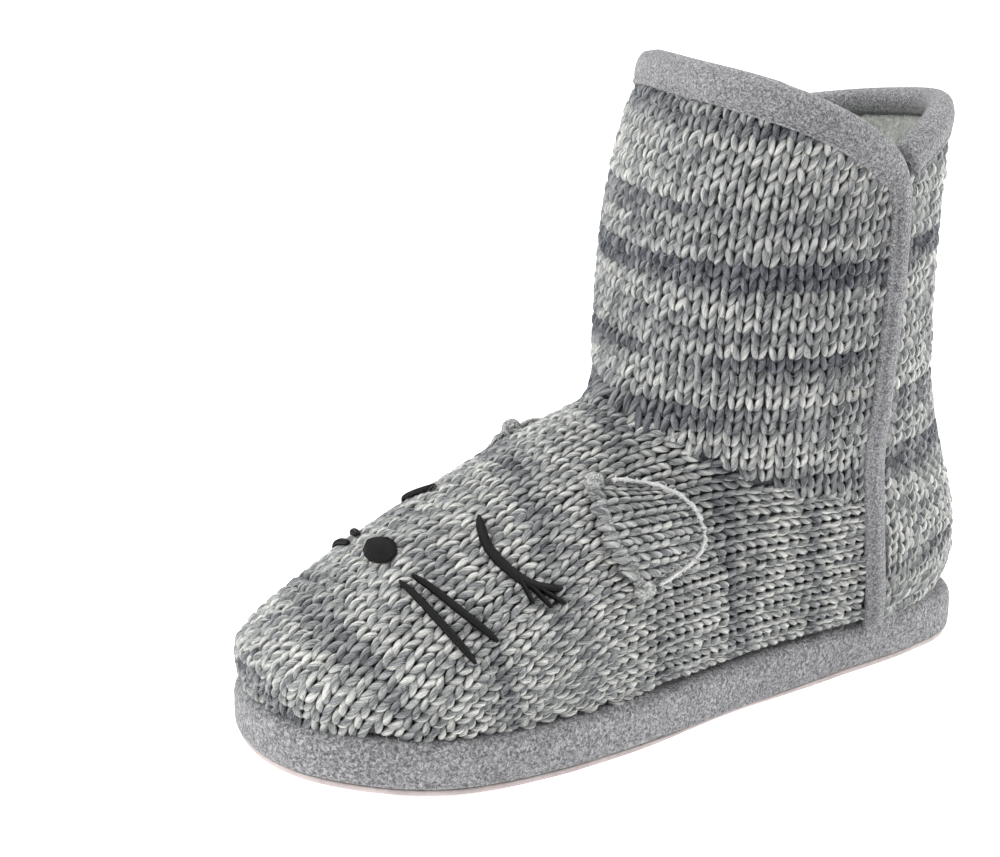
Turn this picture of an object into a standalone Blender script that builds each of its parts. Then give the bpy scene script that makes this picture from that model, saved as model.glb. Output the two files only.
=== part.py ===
"""Bootie slipper, the left shoe: knitted fleece-lined upper on a suede-wrapped platform sole.

Metres, +Z up. The toe points along -Y and +X is the wearer's left, the outer side of the
foot. The floor is z = 0. The origin lies on the floor under the middle of the whole slipper.
"""
import math

import bpy
import numpy as np
from mathutils import Matrix, Vector
from mathutils.bvhtree import BVHTree

# Driving sizes of the last and the sole.
LENGTH = 0.265
BALL_WIDTH = 0.096
HEEL_WIDTH = 0.069
SOLE_HEIGHT = 0.018
OUTSOLE_THICKNESS = 0.0022
OUTSOLE_INSET = 0.0015
TOE_SPRING = 0.0045
SPRING_LENGTH = 0.070
ARCH_LIFT = 0.0012
ARCH_PLACE = 0.0157
ARCH_REACH = 0.0419
INSOLE_THICKNESS = 0.005
INSOLE_CLEARANCE = 0.0016
INSOLE_ROUNDING = 0.0012

# Driving sizes of the upper.
WIDEST_HEIGHT = 0.031
FOOT_AXIS_HEIGHT = 0.029
TOE_HEIGHT = 0.050
INSTEP_HEIGHT = 0.103
SHAFT_DEPTH = 0.108
SHAFT_WIDTH = 0.103
SHAFT_OFFSET = 0.0040
FRONT_HEIGHT = 0.2062
BACK_HEIGHT = 0.190
BACK_TILT = 0.009
NOTCH_HEIGHT = 0.177
BACK_TUCK = 0.006
SEAM_Y_SOLE = 0.081
SEAM_Y_KNEE = 0.0725
SEAM_Y_SHAFT = 0.0650
KNEE_HEIGHT = 0.062
ANKLE_FRONT_HEIGHT = 0.104
ANKLE_SIDE_HEIGHT = 0.068
FOOT_END = 0.085
WALL = 0.004
UPPER_INSET = 0.0012
SOLE_TUCK = 0.0018
OVERLAP_STEP = 0.0012
BLEND = 0.009

# Driving sizes of the trim.
GAP = 0.0003
BINDING_WIDTH = 0.0095
BINDING_THICKNESS = 0.0016
SIDE_BINDING_WIDTH = 0.0065
SIDE_BINDING_HEIGHT = 0.0022
STEP_REACH = 0.0028
EAR_WIDTH = 0.036
EAR_DEPTH = 0.030
EAR_THICKNESS = 0.0026
EAR_ROLL = 0.0050
NOSE_WIDTH = 0.0145
NOSE_LENGTH = 0.0105
STITCH_HEIGHT = 0.0010
THREAD_GAP = 0.0005
NOSE_GAP = 0.0009
EAR_GAP = 0.0012
BUTT_GAP = 0.0012
WHISKER_WIDTH = 0.0021
EYE_WIDTH = 0.0030

# How finely the surfaces are divided.
TINY = 5e-4
SEARCH = 0.012
LEVEL_STEP = 0.0012
RIM_TO_SEAM = 14
STEP_TO_HEEL = 9
PLAN_STATIONS = 22

# Sole outline: place along the length from the toe, then the outer and the inner half width
# as shares of the ball width.
FOREFOOT_ROWS = (
    (0.018, 0.160, 0.258),
    (0.065, 0.310, 0.372),
    (0.15, 0.453, 0.455),
    (0.28, 0.515, 0.502),
    (0.42, 0.508, 0.440),
)
# The same behind the arch, as shares of the heel width.
HEEL_ROWS = (
    (0.58, 0.642, 0.545),
    (0.74, 0.582, 0.540),
    (0.88, 0.536, 0.530),
    (0.965, 0.435, 0.390),
)
TOE_TIP_SHARE = -0.024

# Ridge of the foot: place along the length, height as a share of the rise from the widest
# line to the toe box, then of the rise from the toe box to the instep.
TOE_RIDGE_ROWS = ((0.0, 0.0), (0.02, 0.42), (0.07, 1.0))
INSTEP_RIDGE_ROWS = ((0.16, 0.288), (0.28, 0.577), (0.40, 0.872), (0.50, 1.0), (1.0, 1.0))

# Shaft and heel: height, front and back as shares of the shaft depth, half width as a share
# of the shaft width, middle as a share of the shaft's offset.
SHAFT_ROWS = (
    (0.018, 0.185, 1.235, 0.378, -0.10),
    (0.030, 0.110, 1.275, 0.405, 0.00),
    (0.042, 0.046, 1.262, 0.416, 0.15),
    (0.075, -0.022, 1.140, 0.436, 0.62),
    (0.105, -0.032, 1.030, 0.478, 1.00),
    (0.150, -0.003, 0.994, 0.500, 1.05),
    (0.180, 0.046, 1.000, 0.485, 1.20),
    (0.205, 0.125, 0.945, 0.442, 1.70),
)
SHAFT_POWER = 2.25
VAMP_POWER = 1.85
COLLAR_POWER = 1.32
STEEPEST_RIM = 2.3

# The upper's rows: shares of the way over the foot from the sole to the ankle seam, and
# shares of the rise from there to the collar binding.
FOOT_ROWS = (0.0, 0.02, 0.05, 0.09, 0.14, 0.20, 0.27, 0.34, 0.42, 0.50, 0.58, 0.66, 0.74,
             0.82, 0.90, 1.0)
RISING_ROWS = (0.22, 0.46, 0.72)

# The face, symmetrical about a line turned slightly from the middle. Each row is a distance
# from the middle of the length and an angle from that line, in degrees round the foot.
FACE_TURN = 2.0
NOSE_PLACE = -0.0898
EYE_ROWS = ((-0.0630, 15.5), (-0.0649, 20.8), (-0.0664, 30.3), (-0.0644, 37.2),
            (-0.0604, 45.7), (-0.0572, 49.1), (-0.0499, 51.0))
FRONT_WHISKER = ((-0.0917, 26.3), (-0.0880, 50.2), (-0.0815, 70.2))
BACK_WHISKER = ((-0.0880, 26.3), (-0.0821, 47.1), (-0.0734, 64.2))
EAR_PLACE = -0.0288
EAR_ANGLE = 39.0
EAR_SLANT = 0.0035
EAR_BOW = 0.0048


def smooth_table(rows):
    """Return a smooth function through rows of place and value, without overshoot."""
    places = np.array([row[0] for row in rows])
    values = np.array([row[1] for row in rows])
    steps = np.diff(places)
    slopes = np.diff(values) / steps
    tangents = np.zeros(len(places))
    same_way = slopes[1:] * slopes[:-1] > 0
    sums = np.where(same_way, slopes[1:] + slopes[:-1], 1.0)
    tangents[1:-1] = np.where(same_way, 2 * slopes[1:] * slopes[:-1] / sums, 0.0)
    tangents[0] = slopes[0]
    tangents[-1] = slopes[-1]

    def value_at(place):
        place = np.clip(place, places[0], places[-1])
        k = np.clip(np.searchsorted(places, place) - 1, 0, len(steps) - 1)
        t = (place - places[k]) / steps[k]
        return ((2 * t ** 3 - 3 * t ** 2 + 1) * values[k]
                + (t ** 3 - 2 * t ** 2 + t) * steps[k] * tangents[k]
                + (3 * t ** 2 - 2 * t ** 3) * values[k + 1]
                + (t ** 3 - t ** 2) * steps[k] * tangents[k + 1])

    return value_at


def closed_curve(points, per_span=16):
    """Return a dense closed centripetal curve through the points."""
    points = np.asarray(points)
    count = len(points)
    spans = []
    for i in range(count):
        p0, p1, p2, p3 = (points[(i + k) % count] for k in (-1, 0, 1, 2))
        t1 = math.sqrt(np.linalg.norm(p1 - p0))
        t2 = t1 + math.sqrt(np.linalg.norm(p2 - p1))
        t3 = t2 + math.sqrt(np.linalg.norm(p3 - p2))
        t = np.linspace(t1, t2, per_span, endpoint=False)[:, None]
        a1 = (t1 - t) / t1 * p0 + t / t1 * p1
        a2 = (t2 - t) / (t2 - t1) * p1 + (t - t1) / (t2 - t1) * p2
        a3 = (t3 - t) / (t3 - t2) * p2 + (t - t2) / (t3 - t2) * p3
        b1 = (t2 - t) / t2 * a1 + t / t2 * a2
        b2 = (t3 - t) / (t3 - t1) * a2 + (t - t1) / (t3 - t1) * a3
        spans.append((t2 - t) / (t2 - t1) * b1 + (t - t1) / (t2 - t1) * b2)
    return np.concatenate(spans)


class Plan:
    """Outline of the sole seen from above, drawn in by an inset."""

    def __init__(self, inset=0.0):
        rows = [(place, BALL_WIDTH * outer, BALL_WIDTH * inner) for place, outer, inner in FOREFOOT_ROWS]
        rows += [(place, HEEL_WIDTH * outer, HEEL_WIDTH * inner) for place, outer, inner in HEEL_ROWS]
        self.toe = -LENGTH / 2 + inset
        self.heel = LENGTH / 2 - inset
        tip = (BALL_WIDTH * TOE_TIP_SHARE, self.toe)
        outer = [(half - inset, LENGTH * (place - 0.5)) for place, half, _ in rows]
        inner = [(inset - half, LENGTH * (place - 0.5)) for place, _, half in rows]
        curve = closed_curve([tip] + outer + [(0.0, self.heel)] + inner[::-1])
        turn = int(np.argmax(curve[:, 1]))
        self.outer = curve[:turn + 1]
        self.inner = np.concatenate([curve[turn:], curve[:1]])[::-1]

    def sides(self, y):
        """Return x on the outer and on the inner side at y."""
        y = np.clip(y, self.toe, self.heel)
        return (np.interp(y, self.outer[:, 1], self.outer[:, 0]),
                np.interp(y, self.inner[:, 1], self.inner[:, 0]))

    def ring(self):
        """Return the outline as a closed ring: the outer side to the heel, then the inner side."""
        turns = np.linspace(0.0, math.pi, PLAN_STATIONS + 1)
        y = (self.toe + self.heel) / 2 - (self.heel - self.toe) / 2 * np.cos(turns)
        outer, inner = self.sides(y)
        right = np.stack([outer, y], -1)
        left = np.stack([inner, y], -1)[1:-1][::-1]
        return np.concatenate([right, left])


def floor_lift(y):
    """Return how far the sole's underside is off the floor at y: toe spring and arch."""
    spring = np.clip((-LENGTH / 2 + SPRING_LENGTH - y) / SPRING_LENGTH, 0.0, 1.0)
    arch = np.clip(1.0 - ((y - ARCH_PLACE) / ARCH_REACH) ** 2, 0.0, 1.0)
    return TOE_SPRING * spring ** 2, ARCH_LIFT * arch ** 2


class Last:
    """The form inside the outer surface of the upper: a foot joined smoothly to a shaft."""

    def __init__(self):
        self.plan = Plan(UPPER_INSET)
        rise = TOE_HEIGHT - WIDEST_HEIGHT
        ridge = [(place, WIDEST_HEIGHT + rise * share) for place, share in TOE_RIDGE_ROWS]
        rise = INSTEP_HEIGHT - TOE_HEIGHT
        ridge += [(place, TOE_HEIGHT + rise * share) for place, share in INSTEP_RIDGE_ROWS]
        self.ridge = smooth_table(ridge)
        self.front = smooth_table([(z, SHAFT_DEPTH * front) for z, front, _, _, _ in SHAFT_ROWS])
        self.back = smooth_table([(z, SHAFT_DEPTH * back) for z, _, back, _, _ in SHAFT_ROWS])
        self.half = smooth_table([(z, SHAFT_WIDTH * half) for z, _, _, half, _ in SHAFT_ROWS])
        self.offset = smooth_table([(z, SHAFT_OFFSET * offset) for z, _, _, _, offset in SHAFT_ROWS])
        self.seam = smooth_table([(SOLE_HEIGHT, SEAM_Y_SOLE), (KNEE_HEIGHT, SEAM_Y_KNEE),
                                  (INSTEP_HEIGHT, SEAM_Y_SHAFT), (NOTCH_HEIGHT, SEAM_Y_SHAFT)])

    def middle(self, y):
        """Return x of the foot's middle at y."""
        outer, inner = self.plan.sides(y)
        return (outer + inner) / 2

    def foot(self, x, y, z):
        """Return a signed depth, below zero inside the foot."""
        outer, inner = self.plan.sides(y)
        tuck = SOLE_TUCK * (np.clip(WIDEST_HEIGHT - z, 0.0, None) / (WIDEST_HEIGHT - SOLE_HEIGHT)) ** 2
        half = np.maximum((outer - inner) / 2 - tuck, TINY)
        share = (np.clip(y, self.plan.toe, self.plan.heel) + LENGTH / 2) / LENGTH
        rise = np.maximum(self.ridge(share) - WIDEST_HEIGHT, TINY)
        across = np.abs(x - (outer + inner) / 2) / half
        up = np.clip(z - WIDEST_HEIGHT, 0.0, None) / rise
        depth = (across ** VAMP_POWER + up ** VAMP_POWER) ** (1 / VAMP_POWER) - 1
        depth = depth * np.minimum(half, rise + WALL)
        return np.maximum(depth, np.maximum(self.plan.toe - y, y - FOOT_END))

    def shaft(self, x, y, z):
        """Return a signed depth, below zero inside the shaft and heel."""
        front, back, half = self.front(z), self.back(z), self.half(z)
        across = np.abs(x - self.offset(z)) / half
        along = np.abs(y - (front + back) / 2) / ((back - front) / 2)
        depth = (across ** SHAFT_POWER + along ** SHAFT_POWER) ** (1 / SHAFT_POWER) - 1
        return depth * np.minimum(half, (back - front) / 2)

    def depth(self, x, y, z):
        """Return the signed depth of the smooth join of foot and shaft."""
        foot, shaft = self.foot(x, y, z), self.shaft(x, y, z)
        share = np.clip(0.5 + 0.5 * (shaft - foot) / BLEND, 0.0, 1.0)
        return shaft + (foot - shaft) * share - BLEND * share * (1 - share)

    def reach(self, start, way, limit=0.22):
        """Return where rays from start along way leave the form."""
        near = np.zeros(len(start))
        far = np.full(len(start), limit)
        for _ in range(30):
            middle = (near + far) / 2
            inside = self.depth(*(start + way * middle[:, None]).T) < 0
            near = np.where(inside, middle, near)
            far = np.where(inside, far, middle)
        return start + way * far[:, None]

    def normals(self, points):
        """Return the outward unit normals at points on the form."""
        step = 2e-4
        slope = []
        for axis in np.eye(3):
            ahead = self.depth(*(points + axis * step).T)
            behind = self.depth(*(points - axis * step).T)
            slope.append(ahead - behind)
        slope = np.stack(slope, -1)
        return slope / np.linalg.norm(slope, axis=-1, keepdims=True)

    def centre_y(self, z):
        """Return y of the point that rays at height z start from."""
        return np.where(z < INSTEP_HEIGHT, SEAM_Y_SHAFT, (self.front(z) + self.back(z)) / 2)

    def around(self, angles, z):
        """Return points at angles from the front, towards the outer side, at heights z."""
        angles, z = np.broadcast_arrays(np.asarray(angles, float), np.asarray(z, float))
        start = np.stack([np.full(z.shape, SHAFT_OFFSET), self.centre_y(z), z], -1)
        way = np.stack([np.sin(angles), -np.cos(angles), np.zeros(z.shape)], -1)
        return self.reach(start, way)

    def over_foot(self, y, degrees):
        """Return points of the foot at y and an angle from straight up towards the outer side."""
        y, degrees = np.broadcast_arrays(np.asarray(y, float), np.asarray(degrees, float))
        turn = np.radians(degrees)
        start = np.stack([self.middle(y), y, np.full(y.shape, FOOT_AXIS_HEIGHT)], -1)
        way = np.stack([np.sin(turn), np.zeros(y.shape), np.cos(turn)], -1)
        return self.reach(start, way)

    def collar(self, x, y, front):
        """Return the height of the front or back panel's top edge at x and y."""
        low, high = float(self.front(FRONT_HEIGHT)), float(self.back(BACK_HEIGHT))
        if front:
            share = np.clip((y - low) / (SEAM_Y_SHAFT - low), 0.0, 1.0)
            top = FRONT_HEIGHT
        else:
            share = np.clip((high - y) / (high - SEAM_Y_SHAFT + BACK_TUCK), 0.0, 1.0)
            top = BACK_HEIGHT + BACK_TILT * (x - SHAFT_OFFSET) / (SHAFT_WIDTH / 2)
        drop = (1 - share ** COLLAR_POWER) ** (1 / COLLAR_POWER)
        return NOTCH_HEIGHT + (top - NOTCH_HEIGHT) * drop

    def notch(self):
        """Return y and height of the point where the two panels' edges meet."""
        low, high = float(self.front(FRONT_HEIGHT)), SEAM_Y_SHAFT
        for _ in range(40):
            y = (low + high) / 2
            if self.collar(SHAFT_OFFSET, y, True) > self.collar(SHAFT_OFFSET, y, False):
                low = y
            else:
                high = y
        return y, float(self.collar(SHAFT_OFFSET, y, True))

    def front_edge_y(self, z):
        """Return y of the front part's rear edge at height z, from the sole to the notch."""
        front = float(self.front(FRONT_HEIGHT))
        drop = np.clip((z - NOTCH_HEIGHT) / (FRONT_HEIGHT - NOTCH_HEIGHT), 0.0, 1.0)
        arc = front + (SEAM_Y_SHAFT - front) * (1 - drop ** COLLAR_POWER) ** (1 / COLLAR_POWER)
        return np.where(z > NOTCH_HEIGHT, arc, self.seam(z))


class UpperGrid:
    """Rows and columns of points on the upper's outer surface, with their normals.

    Columns run from the front middle over the outer side to the back and home over the inner
    side. The overlap's edge has a column of its own, with one binding's width before it and
    one just behind it, where the wall steps in.
    """

    def __init__(self, last):
        self.last = last
        self.seam_column = RIM_TO_SEAM + 1
        self.half_columns = RIM_TO_SEAM + STEP_TO_HEEL + 3
        self.columns = 2 * (self.half_columns - 1)
        rim = self.rim_heights()
        slope = self.rim_slope(rim)
        below = rim - BINDING_WIDTH * np.clip(slope, 1.0, STEEPEST_RIM)
        for side in (1, -1):
            corner = [side * (self.seam_column + k) for k in (-1, 0, 1)]
            below[corner] = below[corner].min()
        rows = self.wall_rows(below) + [self.row(below), self.row((below + rim) / 2), self.row(rim)]
        self.points = np.stack(rows)
        self.normals = np.stack([last.normals(row) for row in rows])
        for row in (0, -1):
            self.normals[row, :, 2] = 0.0
            self.normals[row] /= np.linalg.norm(self.normals[row], axis=-1, keepdims=True)
        self.step_back_panel()
        self.follow_sole()
        self.inside = self.points - self.normals * WALL

    def wall_rows(self, below):
        """Return the rows over the foot to the ankle seam, and up the shaft to the binding."""
        levels = np.arange(SOLE_HEIGHT + GAP, NOTCH_HEIGHT, LEVEL_STEP)
        dense = np.stack([self.row(np.full(self.columns, z)) for z in levels])
        steps = np.linalg.norm(np.diff(dense, axis=0), axis=-1)
        way = np.concatenate([np.zeros((1, self.columns)), np.cumsum(steps, axis=0)])
        ankle = self.ankle_heights()
        out = []
        for share in FOOT_ROWS + tuple(1.0 + rise for rise in RISING_ROWS):
            row = np.zeros((self.columns, 3))
            for column in range(self.columns):
                seam = np.interp(ankle[column], levels, way[:, column])
                if share <= 1.0:
                    z = np.interp(share * seam, way[:, column], levels)
                else:
                    z = ankle[column] + (below[column] - ankle[column]) * (share - 1.0)
                row[column] = [np.interp(z, levels, dense[:, column, axis]) for axis in range(3)]
            out.append(row)
        return out

    def ankle_heights(self):
        """Return the height of the ankle seam in each column, level behind the overlap."""
        place = np.minimum(np.arange(self.columns), self.columns - np.arange(self.columns))
        fall = np.clip(place / self.seam_column, 0.0, 1.0) ** 1.5
        return ANKLE_FRONT_HEIGHT - (ANKLE_FRONT_HEIGHT - ANKLE_SIDE_HEIGHT) * fall

    def side_marks(self, total, edge):
        """Return each column's length along a half ring, with the overlap's edge at edge."""
        place = np.arange(self.half_columns)
        before = (edge - SIDE_BINDING_WIDTH) * place / RIM_TO_SEAM
        step = edge + STEP_REACH
        behind = step + (total - step) * (place - self.seam_column - 1) / STEP_TO_HEEL
        return np.where(place < self.seam_column, before, np.where(place == self.seam_column, edge, behind))

    def row(self, heights):
        """Return the row's points, each column at its own height."""
        level = float(np.mean(heights))
        turns = np.linspace(0.0, math.pi, 400)
        out = np.zeros((self.columns, 3))
        for side in (1.0, -1.0):
            ring = self.last.around(side * turns, level)
            path = np.concatenate([[0.0], np.cumsum(np.linalg.norm(np.diff(ring, axis=0), axis=1))])
            picks = self.side_indices(side)
            edge_y = self.last.front_edge_y(heights[picks[self.seam_column]])
            edge = float(np.interp(edge_y, ring[:, 1], path))
            angles = np.interp(self.side_marks(path[-1], edge), path, turns)
            out[picks] = self.last.around(side * angles, heights[picks])
        return out

    def side_indices(self, side):
        """Return the column numbers of one side, from the front middle to the back."""
        count = self.half_columns - 1
        if side > 0:
            return list(range(0, count + 1))
        return [(self.columns - k) % self.columns for k in range(0, count + 1)]

    def rim_heights(self):
        """Return the collar's height in each column."""
        heights = np.full(self.columns, NOTCH_HEIGHT + 0.010)
        notch_z = self.last.notch()[1]
        for _ in range(6):
            points = self.row(heights)
            for column in range(self.columns):
                place = min(column, self.columns - column)
                front = place <= self.seam_column
                heights[column] = float(self.last.collar(points[column, 0], points[column, 1], front))
                if place == self.seam_column:
                    heights[column] = notch_z
        return heights

    def rim_slope(self, rim):
        """Return the length along the rim over its run on the level, in each column."""
        points = self.row(rim)
        slope = np.ones(self.columns)
        for column in range(self.columns):
            place = min(column, self.columns - column)
            inward = -1 if place <= self.seam_column else 1
            side = 1 if column <= self.columns // 2 else -1
            step = points[column] - points[(column + side * inward) % self.columns]
            run = math.hypot(step[0], step[1])
            slope[column] = math.hypot(run, step[2]) / run
        return slope

    def step_back_panel(self):
        """Set the back panel in by the overlap's step."""
        for column in range(self.columns):
            if min(column, self.columns - column) > self.seam_column:
                self.points[:, column] -= self.normals[:, column] * OVERLAP_STEP

    def follow_sole(self):
        """Lift the lowest rows with the sole's toe spring."""
        fade = np.clip(1.0 - (self.points[..., 2] - SOLE_HEIGHT) / WIDEST_HEIGHT, 0.0, 1.0)
        self.points[..., 2] += floor_lift(self.points[..., 1])[0] * fade

    def out(self, row, column, height):
        """Return the point a height above the outer surface."""
        column = column % self.columns
        return self.points[row, column] + self.normals[row, column] * height

    def outer_faces(self):
        """Return the outer wall's triangles as numbers into its points, row by row."""
        faces = []
        for row in range(len(self.points) - 1):
            for column in range(self.columns):
                a, b = row * self.columns + column, row * self.columns + (column + 1) % self.columns
                c, d = b + self.columns, a + self.columns
                faces += [(a, b, c), (a, c, d)]
        return faces

    def wall_tree(self):
        """Return a search tree of the outer wall's triangles."""
        points = [tuple(map(float, point)) for point in self.points.reshape(-1, 3)]
        return BVHTree.FromPolygons(points, self.outer_faces())


def mesh_object(name, vertices, faces, material, collection):
    """Make an object from vertices and faces, with its own material."""
    mesh = bpy.data.meshes.new(name)
    mesh.from_pydata([tuple(map(float, vertex)) for vertex in vertices], [], faces)
    mesh.validate()
    mesh.shade_smooth()
    mesh.set_sharp_from_angle(angle=math.radians(50))
    mesh.materials.append(material)
    part = bpy.data.objects.new(name, mesh)
    collection.objects.link(part)
    return part


def plain_material(name, color, roughness):
    """Make a Principled material with one colour and roughness."""
    material = bpy.data.materials.new(name)
    material.use_nodes = True
    shader = material.node_tree.nodes["Principled BSDF"]
    shader.inputs["Base Color"].default_value = (*color, 1.0)
    shader.inputs["Roughness"].default_value = roughness
    return material


def loft(sections, closed_ends=True):
    """Return vertices and faces of a loft through equal rings of points."""
    count = len(sections[0])
    faces = []
    for i in range(len(sections) - 1):
        a, b = i * count, (i + 1) * count
        for k in range(count):
            n = (k + 1) % count
            faces += [(a + k, a + n, b + n), (a + k, b + n, b + k)]
    if closed_ends:
        last = (len(sections) - 1) * count
        faces.append(tuple(range(count))[::-1])
        faces.append(tuple(last + k for k in range(count)))
    return np.concatenate(sections), faces


def turned_outward(vertices, faces):
    """Return the faces, reversed if they enclose a volume below zero."""
    volume = 0.0
    for face in faces:
        a = vertices[face[0]]
        for b, c in zip(face[1:-1], face[2:]):
            volume += float(np.dot(a, np.cross(vertices[b], vertices[c])))
    return faces if volume > 0 else [face[::-1] for face in faces]


def add_loft(name, sections, material, collection):
    """Add a lofted solid with its faces pointing out."""
    vertices, faces = loft(sections)
    return mesh_object(name, vertices, turned_outward(vertices, faces), material, collection)


def slab(name, rings, material, collection):
    """Add a slab lofted through outline rings, its ends bridged from side to side."""
    count = len(rings[0])
    vertices, faces = loft(rings, closed_ends=False)
    for base, flip in ((0, True), ((len(rings) - 1) * count, False)):
        caps = [(base, base + 1, base + count - 1)]
        for k in range(1, count // 2 - 1):
            caps.append((base + k, base + k + 1, base + count - k - 1, base + count - k))
        half = count // 2
        caps.append((base + half - 1, base + half, base + half + 1))
        faces += [cap[::-1] if flip else cap for cap in caps]
    return mesh_object(name, vertices, turned_outward(vertices, faces), material, collection)


def outline_at(inset, level, arch=False):
    """Return the sole's outline drawn in by an inset at a level above its underside."""
    ring = Plan(inset).ring()
    spring, hollow = floor_lift(ring[:, 1])
    return np.column_stack([ring, level + spring + (hollow if arch else 0.0)])


def build_outsole(material, collection):
    """Thin rubber outsole with its toe spring and the shallow hollow of the arch."""
    rows = ((0.0, 0.0010), (0.25, 0.0), (1.0, 0.0))
    rings = []
    for share, inset in rows:
        rings.append(outline_at(OUTSOLE_INSET + inset, OUTSOLE_THICKNESS * share, arch=share < 1.0))
    slab("outsole", rings, material, collection)


def build_midsole(material, collection):
    """Platform wrapped in suede, with a softly swollen side and rounded edges."""
    rows = ((0.0, 0.0010), (0.10, 0.0003), (0.32, 0.0), (0.66, 0.0), (0.90, 0.0005), (1.0, 0.0018))
    low = OUTSOLE_THICKNESS + GAP
    rings = [outline_at(inset, low + (SOLE_HEIGHT - low) * share) for share, inset in rows]
    slab("midsole", rings, material, collection)


def build_insole(grid, material, collection):
    """Fleece footbed that fills the opening under the upper."""
    inset = WALL + OVERLAP_STEP + INSOLE_CLEARANCE
    rings = []
    for share, draw in ((0.0, 0.0), (0.7, 0.0), (1.0, INSOLE_ROUNDING)):
        z = SOLE_HEIGHT + GAP + INSOLE_THICKNESS * share
        row = grid.row(np.full(grid.columns, z + GAP))
        normals = grid.last.normals(row)
        normals[:, 2] = 0.0
        normals /= np.linalg.norm(normals, axis=-1, keepdims=True)
        ring = row - normals * (inset + draw)
        ring[:, 2] = z + floor_lift(ring[:, 1])[0]
        rings.append(ring)
    slab("insole", rings, material, collection)


def build_upper(grid, material, collection):
    """Knitted upper: one hollow wall, open at the collar and over the sole."""
    rows, columns = grid.points.shape[:2]
    vertices = np.concatenate([grid.points.reshape(-1, 3), grid.inside.reshape(-1, 3)])
    inner = rows * columns
    faces = grid.outer_faces()
    for row in range(rows - 1):
        for column in range(columns):
            a, b = row * columns + column, row * columns + (column + 1) % columns
            c, d = b + columns, a + columns
            faces += [(inner + d, inner + b, inner + a), (inner + d, inner + c, inner + b)]
    for row, flip in ((0, True), (rows - 1, False)):
        for column in range(columns):
            a, b = row * columns + column, row * columns + (column + 1) % columns
            for face in ((a, b, inner + b), (a, inner + b, inner + a)):
                faces.append(face[::-1] if flip else face)
    mesh_object("upper", vertices, turned_outward(vertices, faces), material, collection)


def collar_section(grid, column):
    """Return a section of the folded binding over the rim in one column."""
    column = column % grid.columns
    outer = BINDING_THICKNESS + GAP
    point = grid.out
    up = np.array([0.0, 0.0, 1.0])
    roll = 0.75 * outer
    rim = grid.points[-1, column]
    normal = grid.normals[-1, column]
    section = [
        point(-3, column, GAP),
        point(-3, column, 0.8 * outer),
        point(-2, column, 1.3 * outer),
        point(-1, column, 1.1 * outer) - up * outer / 2,
        rim + normal * roll + up * roll,
        rim - normal * (WALL / 2) + up * 1.2 * outer,
        rim - normal * (WALL + roll) + up * roll,
        point(-1, column, -WALL - outer) - up * outer / 2,
        point(-2, column, -WALL - outer),
        point(-2, column, -WALL - GAP),
        rim - normal * (WALL + GAP) + up * GAP,
        rim + normal * GAP + up * GAP,
        point(-2, column, GAP),
    ]
    return section[::-1]


def build_collar_bindings(grid, material, collection):
    """Suede binding folded over the front panel's top edge, and over the back panel's."""
    seam = grid.seam_column
    front = [collar_section(grid, column) for column in range(-seam, seam + 1)]
    add_loft("front_collar_binding", front, material, collection)
    back = [collar_section(grid, column) for column in range(seam + 1, grid.columns - seam)]
    add_loft("back_collar_binding", back, material, collection)


def build_side_binding(name, grid, side, material, collection):
    """Suede binding down the overlap's edge, from the notch to the sole."""
    edge = side * grid.seam_column
    front, step = edge - side, edge + side
    sections = []
    for row in range(len(grid.points) - 2):
        middle = (grid.out(row, front, 0.0) + grid.out(row, edge, 0.0)) / 2
        normal = grid.normals[row, edge % grid.columns]
        section = [
            grid.out(row, front, GAP),
            grid.out(row, edge, GAP),
            grid.out(row, step, GAP),
            grid.out(row, step, GAP + SIDE_BINDING_HEIGHT * 0.7),
            grid.out(row, edge, GAP + SIDE_BINDING_HEIGHT),
            middle + normal * (GAP + SIDE_BINDING_HEIGHT * 1.05),
            grid.out(row, front, GAP + SIDE_BINDING_HEIGHT * 0.45),
        ]
        sections.append(np.array(section[::side]))
    clear = BUTT_GAP / np.linalg.norm(sections[-1] - sections[-2], axis=1, keepdims=True)
    sections[-1] += (sections[-2] - sections[-1]) * clear
    add_loft(name, sections, material, collection)


def seated(tree, points, normals):
    """Return the points moved along their normals onto the upper's wall."""
    out = []
    for point, normal in zip(points, normals):
        start = Vector(point + normal * SEARCH / 2)
        hit = tree.ray_cast(start, Vector(-normal), 2 * SEARCH)[0]
        out.append(np.array(hit) if hit is not None else point)
    return np.array(out)


def face_points(last, tree, rows, side):
    """Return points and normals on the upper for rows of place and angle on one side."""
    rows = np.asarray(rows, float)
    points = last.over_foot(rows[:, 0], FACE_TURN + side * rows[:, 1])
    normals = last.normals(points)
    return seated(tree, points, normals), normals


def smooth_rows(rows, count):
    """Return evenly spread rows on a smooth curve through hand-placed rows."""
    rows = np.asarray(rows, float)
    marks = np.linspace(0.0, 1.0, len(rows))
    even = np.linspace(0.0, 1.0, count)
    columns = [smooth_table(list(zip(marks, rows[:, k])))(even) for k in range(rows.shape[1])]
    return np.stack(columns, -1)


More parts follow.
